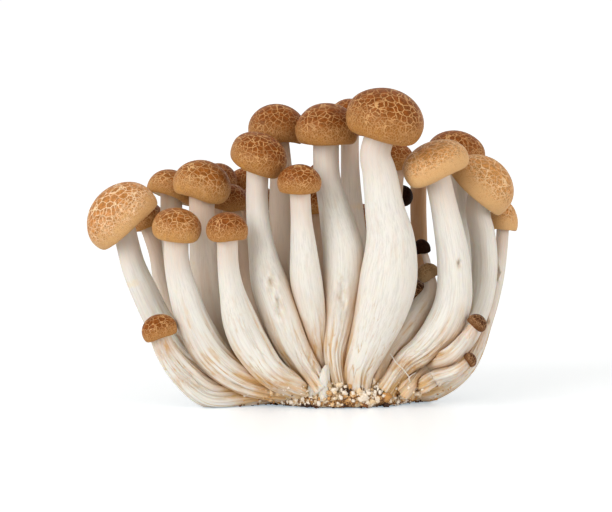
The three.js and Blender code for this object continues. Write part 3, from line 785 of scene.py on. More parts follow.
@dataclass(frozen=True)
class FleshFinish:
    """Stalk flesh: ivory with fibres, greyer under the cap partly as painted shade, brown where crowded as
    painted shade between stalks, ochre in its creases.
    """

    ivory: Colour = (0.79, 0.80, 0.765)
    grey: Colour = (0.68, 0.56, 0.475)
    mottle: Colour = (0.775, 0.77, 0.71)
    milky: Colour = (0.80, 0.825, 0.795)
    # crowded: painted shade where stalks press against each other and just under the caps.
    crowded: Colour = (0.52, 0.285, 0.115)
    ochre: Colour = (0.66, 0.41, 0.15)
    # shade: painted shade, brown laid on stalks that stand back in the clump's shadow.
    shade: Colour = (0.54, 0.315, 0.155)
    stain: Colour = (0.56, 0.31, 0.10)
    pleat: Colour = (0.56, 0.35, 0.14)
    crater: Colour = (0.60, 0.49, 0.36)
    blotch: Colour = (0.86, 0.66, 0.36)
    fibre_shade: float = 0.85
    roughness: float = 0.5
    relief: float = 0.34

    def make(self) -> bpy.types.Material:
        """Reads grain (place in mm, length on z) and shares such as crowd, crease and foot from the mesh.

        Returns:
            The material.
        """
        n = Skin("stalk_flesh")
        grain = n.attribute("grain", vector=True)
        top, crowd, crease, brown, foot, low, scar, stain = (n.attribute(label) for label in FLESH_SHARES)
        fibre = n.noise(n.scaled(grain, (1.0, 1.0, 0.05)), 2.8, 5, 0.7)
        streak = n.noise(n.scaled(grain, (1.0, 1.0, 0.04)), 1.0, 3, 0.5)
        mottled = n.noise(n.scaled(grain, (1.0, 1.0, 0.4)), 0.5, 4, 0.65)
        blotch = n.noise(grain, 0.16, 4, 0.6)
        broken = n.ramp(n.noise(n.scaled(grain, (1.0, 1.0, 0.5)), 0.35, 3, 0.6), 0.42, 0.62, 0.08, 0.9)
        patchy = n.ramp(n.noise(n.scaled(grain, (1.0, 1.0, 0.35)), 0.7, 4, 0.65), 0.36, 0.64, 0.0, 1.0)
        wavy = n.noise(n.scaled(grain, (1.0, 1.0, 0.03)), 0.9, 2, 0.4)
        line = n.times(n.ramp(n.math("ABSOLUTE", n.less(wavy, 0.5)), 0.004, 0.032, 1.0, 0.0), low)
        # Painted shade where stalks touch, strongest at the contact line.
        near = n.times(n.math("POWER", crowd, 1.5), n.ramp(blotch, 0.3, 0.7, 0.6, 0.95))
        dim = tuple(c * self.fibre_shade for c in self.ivory)
        flesh = n.mix(n.ramp(fibre, 0.34, 0.58), dim, self.ivory)
        layers = (
            (n.ramp(mottled, 0.48, 0.70, 0.0, 0.6), self.mottle),
            (n.times(low, n.ramp(streak, 0.36, 0.60, 0.75, 0.35)), self.milky),
            (n.ramp(streak, 0.52, 0.72, 0.0, 0.30), self.grey),
            # Painted shade under the cap: the top of each stalk is laid greyer, partly its own grey-pink
            # tint.
            (n.times(top, n.ramp(fibre, 0.3, 0.7, 0.35, 0.95)), self.grey),
            (near, self.crowded),
            (n.times(line, n.larger(broken, 0.3)), self.pleat),
            (n.times(crease, broken), self.ochre),
            (n.times(scar, n.ramp(mottled, 0.42, 0.62, 0.0, 0.8)), self.crater),
            (n.ramp(blotch, 0.65, 0.76, 0.0, 0.28), self.blotch),
            (n.times(foot, n.ramp(n.plus(fibre, mottled), 0.82, 1.14, 0.0, 0.8)), self.ochre),
            (n.times(stain, patchy), self.stain),
            # Painted shade on stalks that stand back in shadow, by each mushroom's brown share.
            (n.times(brown, n.ramp(fibre, 0.3, 0.7, 0.85, 1.0)), self.shade),
        )
        for share, colour in layers:
            flesh = n.mix(share, flesh, colour)
        n.set(Base_Color=flesh, Roughness=self.roughness)
        n.dull(0.3)
        relief = n.plus(n.times(fibre, 0.45), n.times(streak, 0.3))
        relief = n.plus(relief, n.times(mottled, n.ramp(low, 0.0, 1.0, 0.35, 0.75)))
        n.bump(n.less(relief, n.times(line, 0.8)), self.relief, strength=0.6)
        n.soften(weight=0.25, reach_mm=2.4, colour=(1.0, 0.5, 0.22))
        return n.material


@dataclass(frozen=True)
class BaseFinish:
    """The cut base: cream mycelium on top, and dark brown down its side between the crumbs, painted shade
    in the gaps.
    """

    cream: Colour = (0.80, 0.68, 0.48)
    orange: Colour = (0.58, 0.31, 0.10)
    # dark: painted shade in the gaps between the crumbs down the side.
    dark: Colour = (0.13, 0.055, 0.022)

    def make(self) -> bpy.types.Material:
        """Reads grain (place in mm) and pit (1 down its side) from the mesh.

        Returns:
            The material.
        """
        n = Skin("base_mycelium")
        grain, pit = n.attribute("grain", vector=True), n.attribute("pit")
        lumps = n.noise(grain, 0.55, 5, 0.7)
        grit = n.noise(grain, 2.4, 4, 0.7)
        top = n.mix(n.ramp(lumps, 0.45, 0.68), self.cream, self.orange)
        # The dark brown here is painted shade, broken by orange and cream lumps.
        side = n.mix(n.ramp(grit, 0.42, 0.62), self.dark, self.orange)
        side = n.mix(n.ramp(lumps, 0.50, 0.60), side, self.cream)
        n.set(Base_Color=n.mix(pit, top, side), Roughness=0.9)
        n.bump(n.plus(lumps, grit), depth_mm=0.5, strength=0.8)
        return n.material


class Crumb(Enum):
    """What a crumb is, by the middle of its range of shades."""

    WHITE = 0.12
    CREAM = 0.30
    ORANGE = 0.52
    BROWN = 0.72
    DARK = 0.94


@dataclass(frozen=True)
class CrumbFinish:
    """Loose crumbs: each has its own shade from white over orange to nearly black, with finer flecks."""

    white: Colour = (0.90, 0.84, 0.74)
    cream: Colour = (0.82, 0.64, 0.40)
    orange: Colour = (0.60, 0.31, 0.095)
    brown: Colour = (0.34, 0.13, 0.035)
    # dark: a few crumbs at random, and those low down as a painted shadow line along the floor.
    dark: Colour = (0.04, 0.016, 0.008)

    def make(self) -> bpy.types.Material:
        """Reads shade (0 to 1, one value for each crumb) and grain (place in mm) from the mesh.

        Returns:
            The material.
        """
        n = Skin("crumbs")
        grain = n.attribute("grain", vector=True)
        fleck = n.less(n.noise(grain, 3.2, 4, 0.7), 0.5)
        shade = n.plus(n.attribute("shade"), n.times(fleck, 0.55))
        colour = self.white
        ranges = ((0.20, 0.36, self.cream), (0.40, 0.54, self.orange), (0.60, 0.74, self.brown),
                  (0.80, 0.92, self.dark))
        for low, high, further in ranges:
            colour = n.mix(n.ramp(shade, low, high), colour, further)
        n.set(Base_Color=colour, Roughness=0.85)
        n.bump(fleck, depth_mm=0.2, strength=0.7)
        return n.material


@dataclass
class Cap:
    """A cap: a dome with a rolled edge, and gills hanging under it."""

    mushroom: Mushroom
    seed: int
    widest_at: float = 0.24
    roll_up: float = 0.14
    edge_in: float = 0.04
    roll_in: float = 0.24
    wave: float = 0.035
    sag: float = 0.028
    lump: float = 0.014
    dome_share: float = 0.82
    edge_share: float = 0.26
    edge_rings: int = 8
    lip_in: float = 0.022
    lip_rise: float = 0.012
    gill_in: float = 0.035
    gill_rise: float = 0.03
    gill_depth: float = 0.128
    hub_rise: float = 0.30

    def _columns(self) -> tuple[int, int]:
        """Columns round the cap and gills under it, by its size.

        Returns:
            The columns and the gills.
        """
        wide = self.mushroom.cap.wide
        if wide >= 13:
            return 192, 48
        if wide >= 6:
            return 128, 32
        return 64, 16

    def _waves(self, turn: np.ndarray, seed: int, second: float) -> np.ndarray:
        """Two slow waves round the cap, and three more that are second times as strong."""
        two = np.cos(2 * turn + 3 * chance(self.seed, seed))
        return two + second * np.cos(3 * turn + 3 * chance(self.seed, seed + 1))

    def _profile(self, columns: int) -> np.ndarray:
        """The cap's section from its top to the middle of its underside, as shares of its size.

        Args:
            columns: how many columns the cap has, which sets how fine the rows are.

        Returns:
            The rows: radius, height, gill share, place from top to edge, and 1 for the underside.
        """
        roll = self.mushroom.cap.roll
        edge = 1 - self.edge_in - self.roll_in * roll
        widest = self.widest_at + self.roll_up * roll
        rings = max(8, columns // 7)
        rows = []
        for share in np.linspace(0, 1, rings + 1)[1:]:
            tilt = share * math.pi / 2
            height = widest + (1 - widest) * math.cos(tilt)
            rows.append([math.sin(tilt), height, 0, self.dome_share * share, 0])
        for share in np.linspace(0, 1, self.edge_rings + 1)[1:]:
            tilt = share * math.pi / 2
            inward = edge + (1 - edge) * math.cos(tilt)
            along = self.dome_share + self.edge_share * share
            rows.append([inward, widest * (1 - math.sin(tilt)), 0, along, 0])
        rows.append([edge - self.lip_in, self.lip_rise, 0, 1.1, 0.5])
        for share in np.linspace(0.02, 0.93, max(8, columns // 12)):
            rise = self.gill_rise + 0.9 * self.hub_rise * share**1.6
            gill = min(1.0, share * 7) * min(1.0, (1 - share) * 3.5)
            rows.append([(edge - self.gill_in) * (1 - share), rise, gill, 1.2, 1])
        return np.array(rows)

    def build(self) -> Shell:
        """Makes the cap's shell, with its pattern places.

        Returns:
            The shell.
        """
        place = Place.of(self.mushroom.cap)
        columns, gills = self._columns()
        turn = turns(columns)
        profile = self._profile(columns)
        ripple = 1 + self.wave * self._waves(turn, 3, 0.6)
        radius, height, gill, run, under = profile.T
        top = 1 - under[:, None]
        lumps = sum(
            np.cos(k * turn[None] + 5 * chance(self.seed, k + 5) + 4 * run[:, None]) for k in (2, 3, 5)
        ) * np.sin(math.pi * np.minimum(run, 1))[:, None]
        reach = place.radius * radius[:, None] * ripple[None] * (1 + self.lump * lumps * top)
        groove = 0.5 - 0.5 * np.cos(gills * turn)
        loose = smooth_step(run, 0.35, 0.95)[:, None] * (0.3 + 0.7 * radius[:, None])
        droop = self.sag * self._waves(turn, 7, 0.7)[None] * loose
        gills_at = gill[:, None] * self.gill_depth * groove[None]
        lift = place.high * (height[:, None] + droop + gills_at)
        rings = ring_points(reach, turn, lift)
        shell = Shell.of_rings(
            place.to_world(np.array([[0, 0, place.high * (self.hub_rise + self.gill_rise)]]))[0],
            place.to_world(rings.reshape(-1, 3)).reshape(rings.shape)[::-1],
            place.to_world(np.array([[0, 0, place.high]]))[0],
        )
        size = math.sqrt(place.radius)
        spread = np.tan(np.minimum(run, 1.2) * math.pi / 4) * size
        flat = ring_points(spread[:, None], turn, 0.0)
        start = np.array([[11.0 * chance(self.seed, 21), 11.0 * chance(self.seed, 22), 3.7 * self.seed]])
        shell.values["net"] = np.concatenate([start, flat[::-1].reshape(-1, 3) + start, start])
        for label, row in (("rim", run), ("under", under)):
            column = np.repeat(row[::-1], columns)
            shell.values[label] = np.concatenate([[row[-1]], column, [0.0]])
        return shell

    def dress(self, material: bpy.types.Material) -> bpy.types.Object:
        """Puts the cap in the scene in place of its plain node.

        Args:
            material: the cap skin of its tone.

        Returns:
            The new object.
        """
        made = self.build().to_object(f"mushroom_cap_{self.mushroom.name}", material)
        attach(made, "root")
        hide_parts(f"cap_{self.mushroom.name}")
        return made


def blurred(values: np.ndarray, along: int, around: int) -> np.ndarray:
    """Evens out a table of rings and sides.

    Args:
        values: a table of rings and sides.
        along: how many rings each way it takes in.
        around: how many sides each way it takes in.

    Returns:
        The evened table.
    """
    last = len(values) - 1
    rows = np.clip(np.arange(len(values))[:, None] + np.arange(-along, along + 1)[None], 0, last)
    weight = 1 - np.abs(np.arange(-along, along + 1)) / (along + 1)
    soft = (values[rows] * weight[None, :, None]).sum(axis=1) / weight.sum()
    steps = range(-around, around + 1)
    total = sum(np.roll(soft, k, axis=1) * (1 - abs(k) / (around + 1)) for k in steps)
    return total / sum(1 - abs(k) / (around + 1) for k in steps)


@dataclass
class Stalk:
    """A stalk: rings across its middle line, out of round, pressed flat where a neighbour crowds it."""

    mushroom: Mushroom
    index: int
    lines: list[np.ndarray]
    cake: Base
    rings: int = 88
    sides: int = 72
    others: int = 106
    oval: float = 0.05
    least: float = 0.3
    gap: float = 0.06
    close_by: float = 4.0
    shade_reach: float = 2.2
    clear_of_floor: float = 0.12
    creases: int = 18
    crease_wide: float = 0.085
    crease_depth: float = 0.5
    fold: float = 0.10
    crater: float = 0.85
    lip: float = 0.42
    nudge: float = 0.01
    painted_cap_shade: float = 0.315
    around_cake: float = 1.1
    clings: float = 0.6

    def _near(self, row: np.ndarray, directions: np.ndarray, wanted: np.ndarray,
              others: np.ndarray) -> tuple[np.ndarray, np.ndarray]:
        """How far one ring may reach before it meets the half-way surface to a neighbour, and how near it
        comes to one, for the painted shade between stalks.

        Args:
            row: the middle of the ring, and the radius there.
            directions: one direction for each side.
            wanted: the reach that each side would have alone.
            others: rows of x, y, z and radius of all neighbours.

        Returns:
            One reach for each side, and one value for each that is 1 at a neighbour and 0 far from all.
        """
        within = others[:, 3] + 1.4 * row[3] + self.close_by
        close = others[np.linalg.norm(others[:, :3] - row[:3], axis=1) < within]
        if not len(close):
            return wanted, np.zeros(len(wanted))
        apart = row[:3] - close[:, :3]
        margin = close[None, :, 3] - wanted[:, None] + self.gap
        closing = margin - directions @ apart.T
        half_way = ((apart**2).sum(axis=1) - margin**2) / (2 * np.maximum(closing, 1e-9))
        limit = np.where(closing > 0, half_way, np.inf)
        reach = np.clip(limit.min(axis=1), self.least * wanted, wanted)
        skin = row[:3] + directions * reach[:, None]
        free = (np.linalg.norm(skin[:, None] - close[None, :, :3], axis=2) - close[None, :, 3]).min(axis=1)
        return reach, np.exp(-np.maximum(free, 0) / self.shade_reach)

    def _creases(self, turn: np.ndarray, t: np.ndarray, low: np.ndarray) -> np.ndarray:
        """Narrow pleats that run up from the foot, each to a height of its own.

        Args:
            turn: the angle of each side.
            t: the place of each ring, 0 at the foot.
            low: how near the floor each ring is, from 0 to 1.

        Returns:
            How deep the pleats are, from 0 to 1, for each ring and side.
        """
        seed = self.index + 1
        table = np.zeros((len(t), len(turn)))
        for k in range(self.creases):
            middle = math.pi * chance(seed, 50 + k) + 0.5 * chance(seed, 70 + k) * np.sin(2.2 * t + k)
            away = np.angle(np.exp(1j * (turn[None] - middle[:, None])))
            wide = self.crease_wide + 0.03 * chance(seed, 90 + k)
            reach = np.clip(low * 1.6 - 0.5 * (1 + chance(seed, 110 + k)), 0, 1)
            table = np.maximum(table, np.exp(-((away / wide) ** 2)) * reach[:, None])
        return table

    def _scars(self, skin: np.ndarray, directions: np.ndarray) -> tuple[np.ndarray, np.ndarray]:
        """Shallow ragged craters where the skin tore, on the side that shows.

        Args:
            skin: a point for each ring and side.
            directions: the way out at each.

        Returns:
            How torn each point is, from 0 to 1, and how deep it is dented.
        """
        torn = np.zeros(skin.shape[:2])
        dent = np.zeros(skin.shape[:2])
        seen_x, seen_z = as_seen(skin)
        facing = smooth_step(-directions[..., 1], 0.0, 0.4)
        for x, z, wide, high in self.mushroom.scars:
            ragged = 0.22 * np.sin(3.1 * seen_x + 2.3 * seen_z) + 0.16 * np.sin(5.3 * seen_z - 2.9 * seen_x)
            away = np.hypot((seen_x - x) / wide, (seen_z - z) / high) + ragged
            torn = np.maximum(torn, facing * np.exp(-((away / 0.9) ** 2)))
            lip = np.exp(-(((away - 1) / 0.28) ** 2))
            dent += facing * (self.crater * np.exp(-((away / 0.5) ** 2)) - self.lip * lip)
        return torn, dent

    def _stains(self, points: np.ndarray) -> np.ndarray:
        """How ochre each point is for the torn tissue near it, on the side that shows.

        Args:
            points: the points of the shell.

        Returns:
            One share for each point, from 0 to 1.
        """
        seen_x, seen_z = as_seen(points)
        stain = np.zeros(len(points))
        for x, z, wide, high in STAINS:
            stain = np.maximum(stain, np.exp(-(((seen_x - x) / wide) ** 2 + ((seen_z - z) / high) ** 2)))
        return stain * (1 - smooth_step(points[:, 1], -14.0, -4.0))

    def build(self) -> Shell:
        """Makes the stalk's shell, with the places of its grain.

        Returns:
            The shell.
        """
        seed = self.index + 1
        line = self.lines[self.index]
        rings, sides = (self.rings // 2, self.sides // 2) if self.mushroom.pin else (self.rings, self.sides)
        t = np.linspace(0, 1, rings)
        rows = curve_through(line, t)
        ahead = curve_through(line, np.minimum(1, t + self.nudge))
        along = (ahead - curve_through(line, np.maximum(0, t - self.nudge)))[:, :3]
        along /= np.linalg.norm(along, axis=1)[:, None]
        length = float(np.linalg.norm(np.diff(rows[:, :3], axis=0), axis=1).sum())
        places = np.linspace(0, 1, self.others)
        others = np.concatenate(
            [curve_through(other, places) for j, other in enumerate(self.lines) if j != self.index]
        )
        turn = turns(sides)
        lobes = 1 + self.oval * np.cos(2 * turn[None] + 3 * chance(seed, 1))
        lobes = lobes + 0.5 * self.oval * np.cos(3 * turn[None] + 4 * t[:, None] + 3 * chance(seed, 2))
        wanted = rows[:, 3:] * lobes
        right = np.cross([0, 1, 0], along)
        right /= np.linalg.norm(right, axis=1)[:, None]
        deep = np.cross(along, right)
        cos, sin = np.cos(turn)[None, :, None], np.sin(turn)[None, :, None]
        directions = cos * right[:, None] + sin * deep[:, None]
        met = [self._near(rows[k], directions[k], wanted[k], others) for k in range(rings)]
        reach = blurred(np.array([reach for reach, _ in met]), 4, 2)
        crowd = blurred(np.array([value for _, value in met]), 2, 1)
        low = 1 - smooth_step(rows[:, 2], 3.0, 34.0)
        crease = self._creases(turn, t, low)
        folds = sum(
            np.sin(m * turn[None] + 2.5 * chance(seed, m) + 1.5 * np.sin(3 * t + m)[:, None])
            for m in (4, 7, 11)
        )
        size = np.minimum(1, rows[:, 3:] / 3.5) * (1 + 0.9 * (1 - smooth_step(rows[:, 2:3], 5.0, 16.0)))
        reach = reach - size * (self.crease_depth * crease + self.fold * (0.3 + low[:, None]) * folds / 3)
        scar, dent = self._scars(rows[:, None, :3] + directions * reach[..., None], directions)
        reach = reach - dent
        points = rows[:, None, :3] + directions * reach[..., None]
        points[..., 2] = np.maximum(points[..., 2], self.clear_of_floor)
        shell = Shell.of_rings(rows[0, :3], points, rows[-1, :3])
        start = np.array([17.0 * chance(seed, 31), 17.0 * chance(seed, 32), 40.0 * chance(seed, 33)])
        grain = ring_points(rows[:, 3:], turn, (t * length)[:, None]).reshape(-1, 3)
        shell.values["grain"] = np.concatenate([grain[:1], grain, grain[-1:]]) + start
        tables = {
            # top: where the stalk is laid greyer, partly painted shade under the cap.
            "top": np.broadcast_to(smooth_step(t, 0.72, 0.96)[:, None], crowd.shape),
            # Painted shade: the crowd share also darkens the stalk just under its cap.
            "crowd": np.maximum(crowd, self.painted_cap_shade * smooth_step(t, 0.90, 0.96)[:, None]),
            "crease": crease,
            "low": np.broadcast_to(low[:, None], crowd.shape),
            "scar": scar,
        }
        for label, table in tables.items():
            shell.values[label] = np.concatenate([[table[0, 0]], table.ravel(), [table[-1, 0]]])
        across = (shell.points[:, 0] - self.cake.x) / (self.around_cake * self.cake.half_wide)
        behind = (shell.points[:, 1] - self.cake.y) / (self.around_cake * self.cake.half_deep)
        near_cake = 1 - smooth_step(np.hypot(across, behind), 0.98, 1.5)
        shell.values["foot"] = near_cake * (1 - smooth_step(shell.points[:, 2], 3.0, 11.0))
        shell.values["stain"] = self._stains(shell.points)
        # brown: how much painted shade the stalk gets for standing back in shadow.
        shell.values["brown"] = np.full(len(shell.points), self.mushroom.brown)
        return shell

    def foot(self, shell: Shell) -> np.ndarray:
        """Finds where crumbs may cling to the stalk, low on its outer side.

        Args:
            shell: the stalk's shell.

        Returns:
            The points.
        """
        outer = np.hypot(shell.points[:, 0] - self.cake.x, (shell.points[:, 1] - self.cake.y) * 1.25)
        low = (shell.values["foot"] > self.clings) & (shell.points[:, 2] < self.cake.crumb_top - 0.8)
        return shell.points[low & (outer > 0.8 * self.cake.half_wide)]

    def dress(self, shell: Shell, material: bpy.types.Material) -> bpy.types.Object:
        """Puts the stalk in the scene in place of its plain node, which for a pinhead is the base.

        Args:
            shell: the stalk's shell.
            material: the flesh.

        Returns:
            The new object.
        """
        made = shell.to_object(f"mushroom_stalk_{self.mushroom.name}", material)
        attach(made, "root")
        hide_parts("base" if self.mushroom.pin else f"stem_{self.mushroom.name}")
        return made


@dataclass
class Base:
    """The cut base: a low lumpy cake with a flat underside, and crumbs of the growing block round it.

    The profile gives the share of the width, the height and the lumpiness of its rings, from its foot up.
    """

    x: float = 8.5
    y: float = -1.5
    half_wide: float = 23.5
    half_deep: float = 19.5
    columns: int = 200
    top: float = 4.9
    profile: tuple[tuple[float, float, float], ...] = (
        (0.84, 0.0, 0.0), (0.875, 0.02, 0.5), (0.94, 0.5, 1), (0.965, 1.1, 1), (0.98, 1.8, 1),
        (0.985, 2.4, 1), (0.98, 3.0, 1), (0.95, 3.6, 1), (0.90, 4.1, 0.9), (0.8, 4.5, 0.8),
        (0.6, 4.8, 0.6), (0.35, 4.9, 0.3),
    )
    lumpy: float = 0.42
    crumbs: int = 2300
    clinging: int = 620
    crumb_top: float = 6.9
    crumb_line: tuple[tuple[float, float], ...] = (
        (0, 0.87), (0.6, 0.94), (2.5, 0.985), (4, 0.96), (5.2, 0.91), (6.9, 0.86),
    )
    sizes: tuple[float, float] = (0.17, 0.44)
    larger: float = 2.1
    patches: int = 16
    patch_round: float = 44.0
    patch_up: float = 1.6
    alike: float = 0.6
    usually: float = 0.75
    painted_shadow_below: float = 0.9
    light_above: float = 1.2
    mix: tuple[float, ...] = (0.36, 0.30, 0.22, 0.07, 0.05)
    seed: int = 5

    def _outline(self, share: float, height: float, lump: float) -> np.ndarray:
        """One ring of the cake, with small and large lumps in its side.

        Args:
            share: its size against the cake's widest.
            height: how high it lies.
            lump: how lumpy it is, from 0 to 1.

        Returns:
            One point for each column.
        """
        turn = turns(self.columns)
        rough = sum(
            np.sin(k * turn + 6 * chance(self.seed, k) + 2.1 * height) / k**0.55
            for k in (5, 9, 14, 23, 37, 61)
        )
        out = lump * self.lumpy * rough
        return np.stack([
            self.x + (self.half_wide * share + out) * np.cos(turn),
            self.y + (self.half_deep * share + out) * np.sin(turn),
            np.full(self.columns, height) + lump * 0.12 * np.sin(29 * turn + height),
        ], axis=-1)

    def build(self) -> Shell:
        """Makes the cake's shell.

        Returns:
            The shell.
        """
        rings = np.array([self._outline(*step) for step in self.profile])
        rings[..., 2] = np.maximum(rings[..., 2], 0)
        shell = Shell.of_rings(np.array([self.x, self.y, 0]), rings, np.array([self.x, self.y, self.top]))
        shell.values["grain"] = shell.points.copy()
        # pit: 1 down the side, where the dark brown painted shade shows between the crumbs.
        shell.values["pit"] = 1 - smooth_step(shell.points[:, 2], 3.2, 4.4)
        return shell

    @staticmethod
    def _ball() -> tuple[np.ndarray, list[tuple[int, int, int]]]:
        """Points and faces of a plain ball: two poles and three belts of eight.

        Returns:
            The points and the faces.
        """
        belts, columns = (-0.8, 0.0, 0.8), 8
        points = [[0, 0, -1]]
        for row, rise in enumerate(belts):
            for c in range(columns):
                turn = 2 * math.pi * (c + 0.5 * (row % 2)) / columns
                out = math.cos(rise)
                points.append([math.cos(turn) * out, math.sin(turn) * out, math.sin(rise)])
        points.append([0, 0, 1])
        faces = []
        for c in range(columns):
            after = (c + 1) % columns
            faces.append((0, 1 + after, 1 + c))
            for row in range(len(belts) - 1):
                low, high = 1 + row * columns, 1 + (row + 1) * columns
                faces += [(low + c, low + after, high + c), (low + after, high + after, high + c)]
            faces.append((len(points) - 1, 1 + 2 * columns + c, 1 + 2 * columns + after))
        return np.array(points), faces

    def _spot(self, draw: np.random.Generator) -> tuple[np.ndarray, float]:
        """A random spot on the side of the cake.

        Args:
            draw: where random numbers come from.

        Returns:
            The spot, and how far round it lies.
        """
        turn = draw.uniform(0, 2 * math.pi)
        height = draw.beta(1.25, 1.45) * self.crumb_top
        heights, shares = zip(*self.crumb_line)
        share = np.interp(height, heights, shares)
        out = draw.uniform(-0.5, 0.5)
        return np.array([
            self.x + (self.half_wide * share + out) * math.cos(turn),
            self.y + (self.half_deep * share + out) * math.sin(turn),
            height,
        ]), turn

    def _kind(self, draw: np.random.Generator, near: Crumb, height: float) -> Crumb:
        """What a crumb is: mostly like those near it, dark low down as a painted shadow along the floor,
        and cream or ochre higher up.

        Args:
            draw: where random numbers come from.
            near: the kind of the nearest patch.
            height: how high the crumb lies.

        Returns:
            Its kind.
        """
        kind = near if draw.random() < self.alike else list(Crumb)[draw.choice(len(Crumb), p=self.mix)]
        # Painted shadow: crumbs near the floor are mostly near-black, and dark ones higher up turn light.
        if height < self.painted_shadow_below and draw.random() < self.usually:
            return Crumb.DARK
        if height > self.light_above and kind in (Crumb.DARK, Crumb.BROWN) and draw.random() < self.usually:
            return Crumb.ORANGE if draw.random() < 0.45 else Crumb.CREAM
        return kind

    def build_crumbs(self, feet: np.ndarray) -> Shell:
        """Small knobbly crumbs in patches of like colour, round the cake and on the stalks' feet.

        Args:
            feet: points on the stalks that crumbs may cling to.

        Returns:
            All crumbs as one shell.
        """
        draw = np.random.default_rng(self.seed)
        ball, faces = self._ball()
        kinds = [kind for kind in Crumb for _ in range(self.patches)]
        patches = [(draw.uniform(0, 2 * math.pi), draw.uniform(0, 5), kind) for kind in kinds]
        points, every, shades = [], [], []
        for k in range(self.crumbs + self.clinging):
            middle, turn = self._spot(draw)
            size = draw.uniform(*self.sizes) * draw.choice([1.0, self.larger], p=[0.8, 0.2])
            if k >= self.crumbs:
                middle = feet[draw.integers(len(feet))] + draw.uniform(-0.2, 0.2, 3)
                turn = math.atan2(middle[1] - self.y, middle[0] - self.x)
                size *= 0.75
            height = middle[2]
            middle[2] = max(height, size * 0.75)
            shape = ball * (1 + draw.uniform(-0.42, 0.42, (len(ball), 1)))
            shape = shape * draw.uniform(0.55, 1.4, (1, 3)) * size
            points.append(shape + middle)
            every += [tuple(k * len(ball) + v for v in face) for face in faces]
            away = [
                math.hypot(self.patch_round * math.sin((turn - at) / 2), self.patch_up * (height - up))
                for at, up, _ in patches
            ]
            kind = self._kind(draw, patches[int(np.argmin(away))][2], height)
            shades.append(np.full(len(ball), kind.value + draw.uniform(-0.09, 0.09)))
        shell = Shell(np.concatenate(points), every)
        shell.points[:, 2] = np.maximum(shell.points[:, 2], 0.02)
        shell.values["shade"] = np.concatenate(shades)
        shell.values["grain"] = shell.points.copy()
        return shell

    def dress(self, feet: np.ndarray, cake: bpy.types.Material,
              crumb: bpy.types.Material) -> list[bpy.types.Object]:
        """Puts the cake and its crumbs in the scene in place of the plain base.

        Args:
            feet: points on the stalks that crumbs may cling to.
            cake: the cake's finish.
            crumb: the crumbs' finish.

        Returns:
            The two new objects.
        """
        made = [
            self.build().to_object("base_cake", cake),
            self.build_crumbs(feet).to_object("base_crumbs", crumb),
        ]
        for piece in made:
            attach(piece, "root")
            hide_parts("base")
        return made


@dataclass(frozen=True)
class Stub:
    """A torn white stub, flake or fibre, as rows of x, y, z and radius from its root up."""

    name: str
    rows: tuple[tuple[float, float, float, float], ...]
    seed: int
    rings: int = 30
    sides: int = 28
    rough: float = 0.16
    low: float = 0.35
    foot: float = 0.25

    def build(self) -> Shell:
        """Makes the stub's shell, rough round its side and torn at its top.

        Returns:
            The shell.
        """
        t = np.linspace(0, 1, self.rings)
        rows = curve_through(np.array(self.rows), t)
        turn = turns(self.sides)
        waves = sum(
            np.sin(k * turn[None] + 6 * chance(self.seed, k) + k * 0.9 * t[:, None]) / math.sqrt(k)
            for k in (2, 3, 5, 8, 11)
        )
        reach = rows[:, 3:] * (1 + self.rough * waves) * np.sqrt(np.clip((1.04 - t[:, None]) * 6, 0, 1))
        torn = 0.5 * rows[:, 3:] * waves * self.rough * t[:, None]
        points = rows[:, None, :3] + ring_points(reach, turn, torn)
        shell = Shell.of_rings(rows[0, :3], points, rows[-1, :3])
        shares = dict.fromkeys(FLESH_SHARES, 0.0) | {"low": self.low, "foot": self.foot}
        for label, share in shares.items():
            shell.values[label] = np.full(len(shell.points), share)
        shell.values["grain"] = shell.points.copy()
        return shell

    def dress(self, material: bpy.types.Material) -> bpy.types.Object:
        """Puts the stub in the scene.

        Args:
            material: the flesh.

        Returns:
            The new object.
        """
        made = self.build().to_object(self.name, material)
        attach(made, "root")
        return made


STUBS: tuple[Stub, ...] = (
    Stub("torn_stub", ((4.8, -18.2, 2.4, 2.1), (4.9, -18.9, 5.0, 1.8), (5.2, -19.1, 7.8, 1.25),
                       (5.7, -18.7, 10.5, 0.6)), 3, rough=0.26),
    Stub("torn_flake", ((3.0, -18.6, 2.6, 1.4), (2.5, -19.4, 4.7, 1.05), (2.3, -19.4, 6.6, 0.5)), 8,
         rough=0.26),
    Stub("thread_long", ((21.3, -17.5, 13.2, 0.13), (22.6, -19.6, 11.3, 0.15), (24.4, -20.4, 9.6, 0.15),
                         (25.9, -20.6, 7.6, 0.12)), 5),
    Stub("thread_short", ((26.0, -19.6, 6.4, 0.13), (25.8, -20.6, 7.8, 0.14), (27.4, -20.4, 8.9, 0.1)), 6),
)


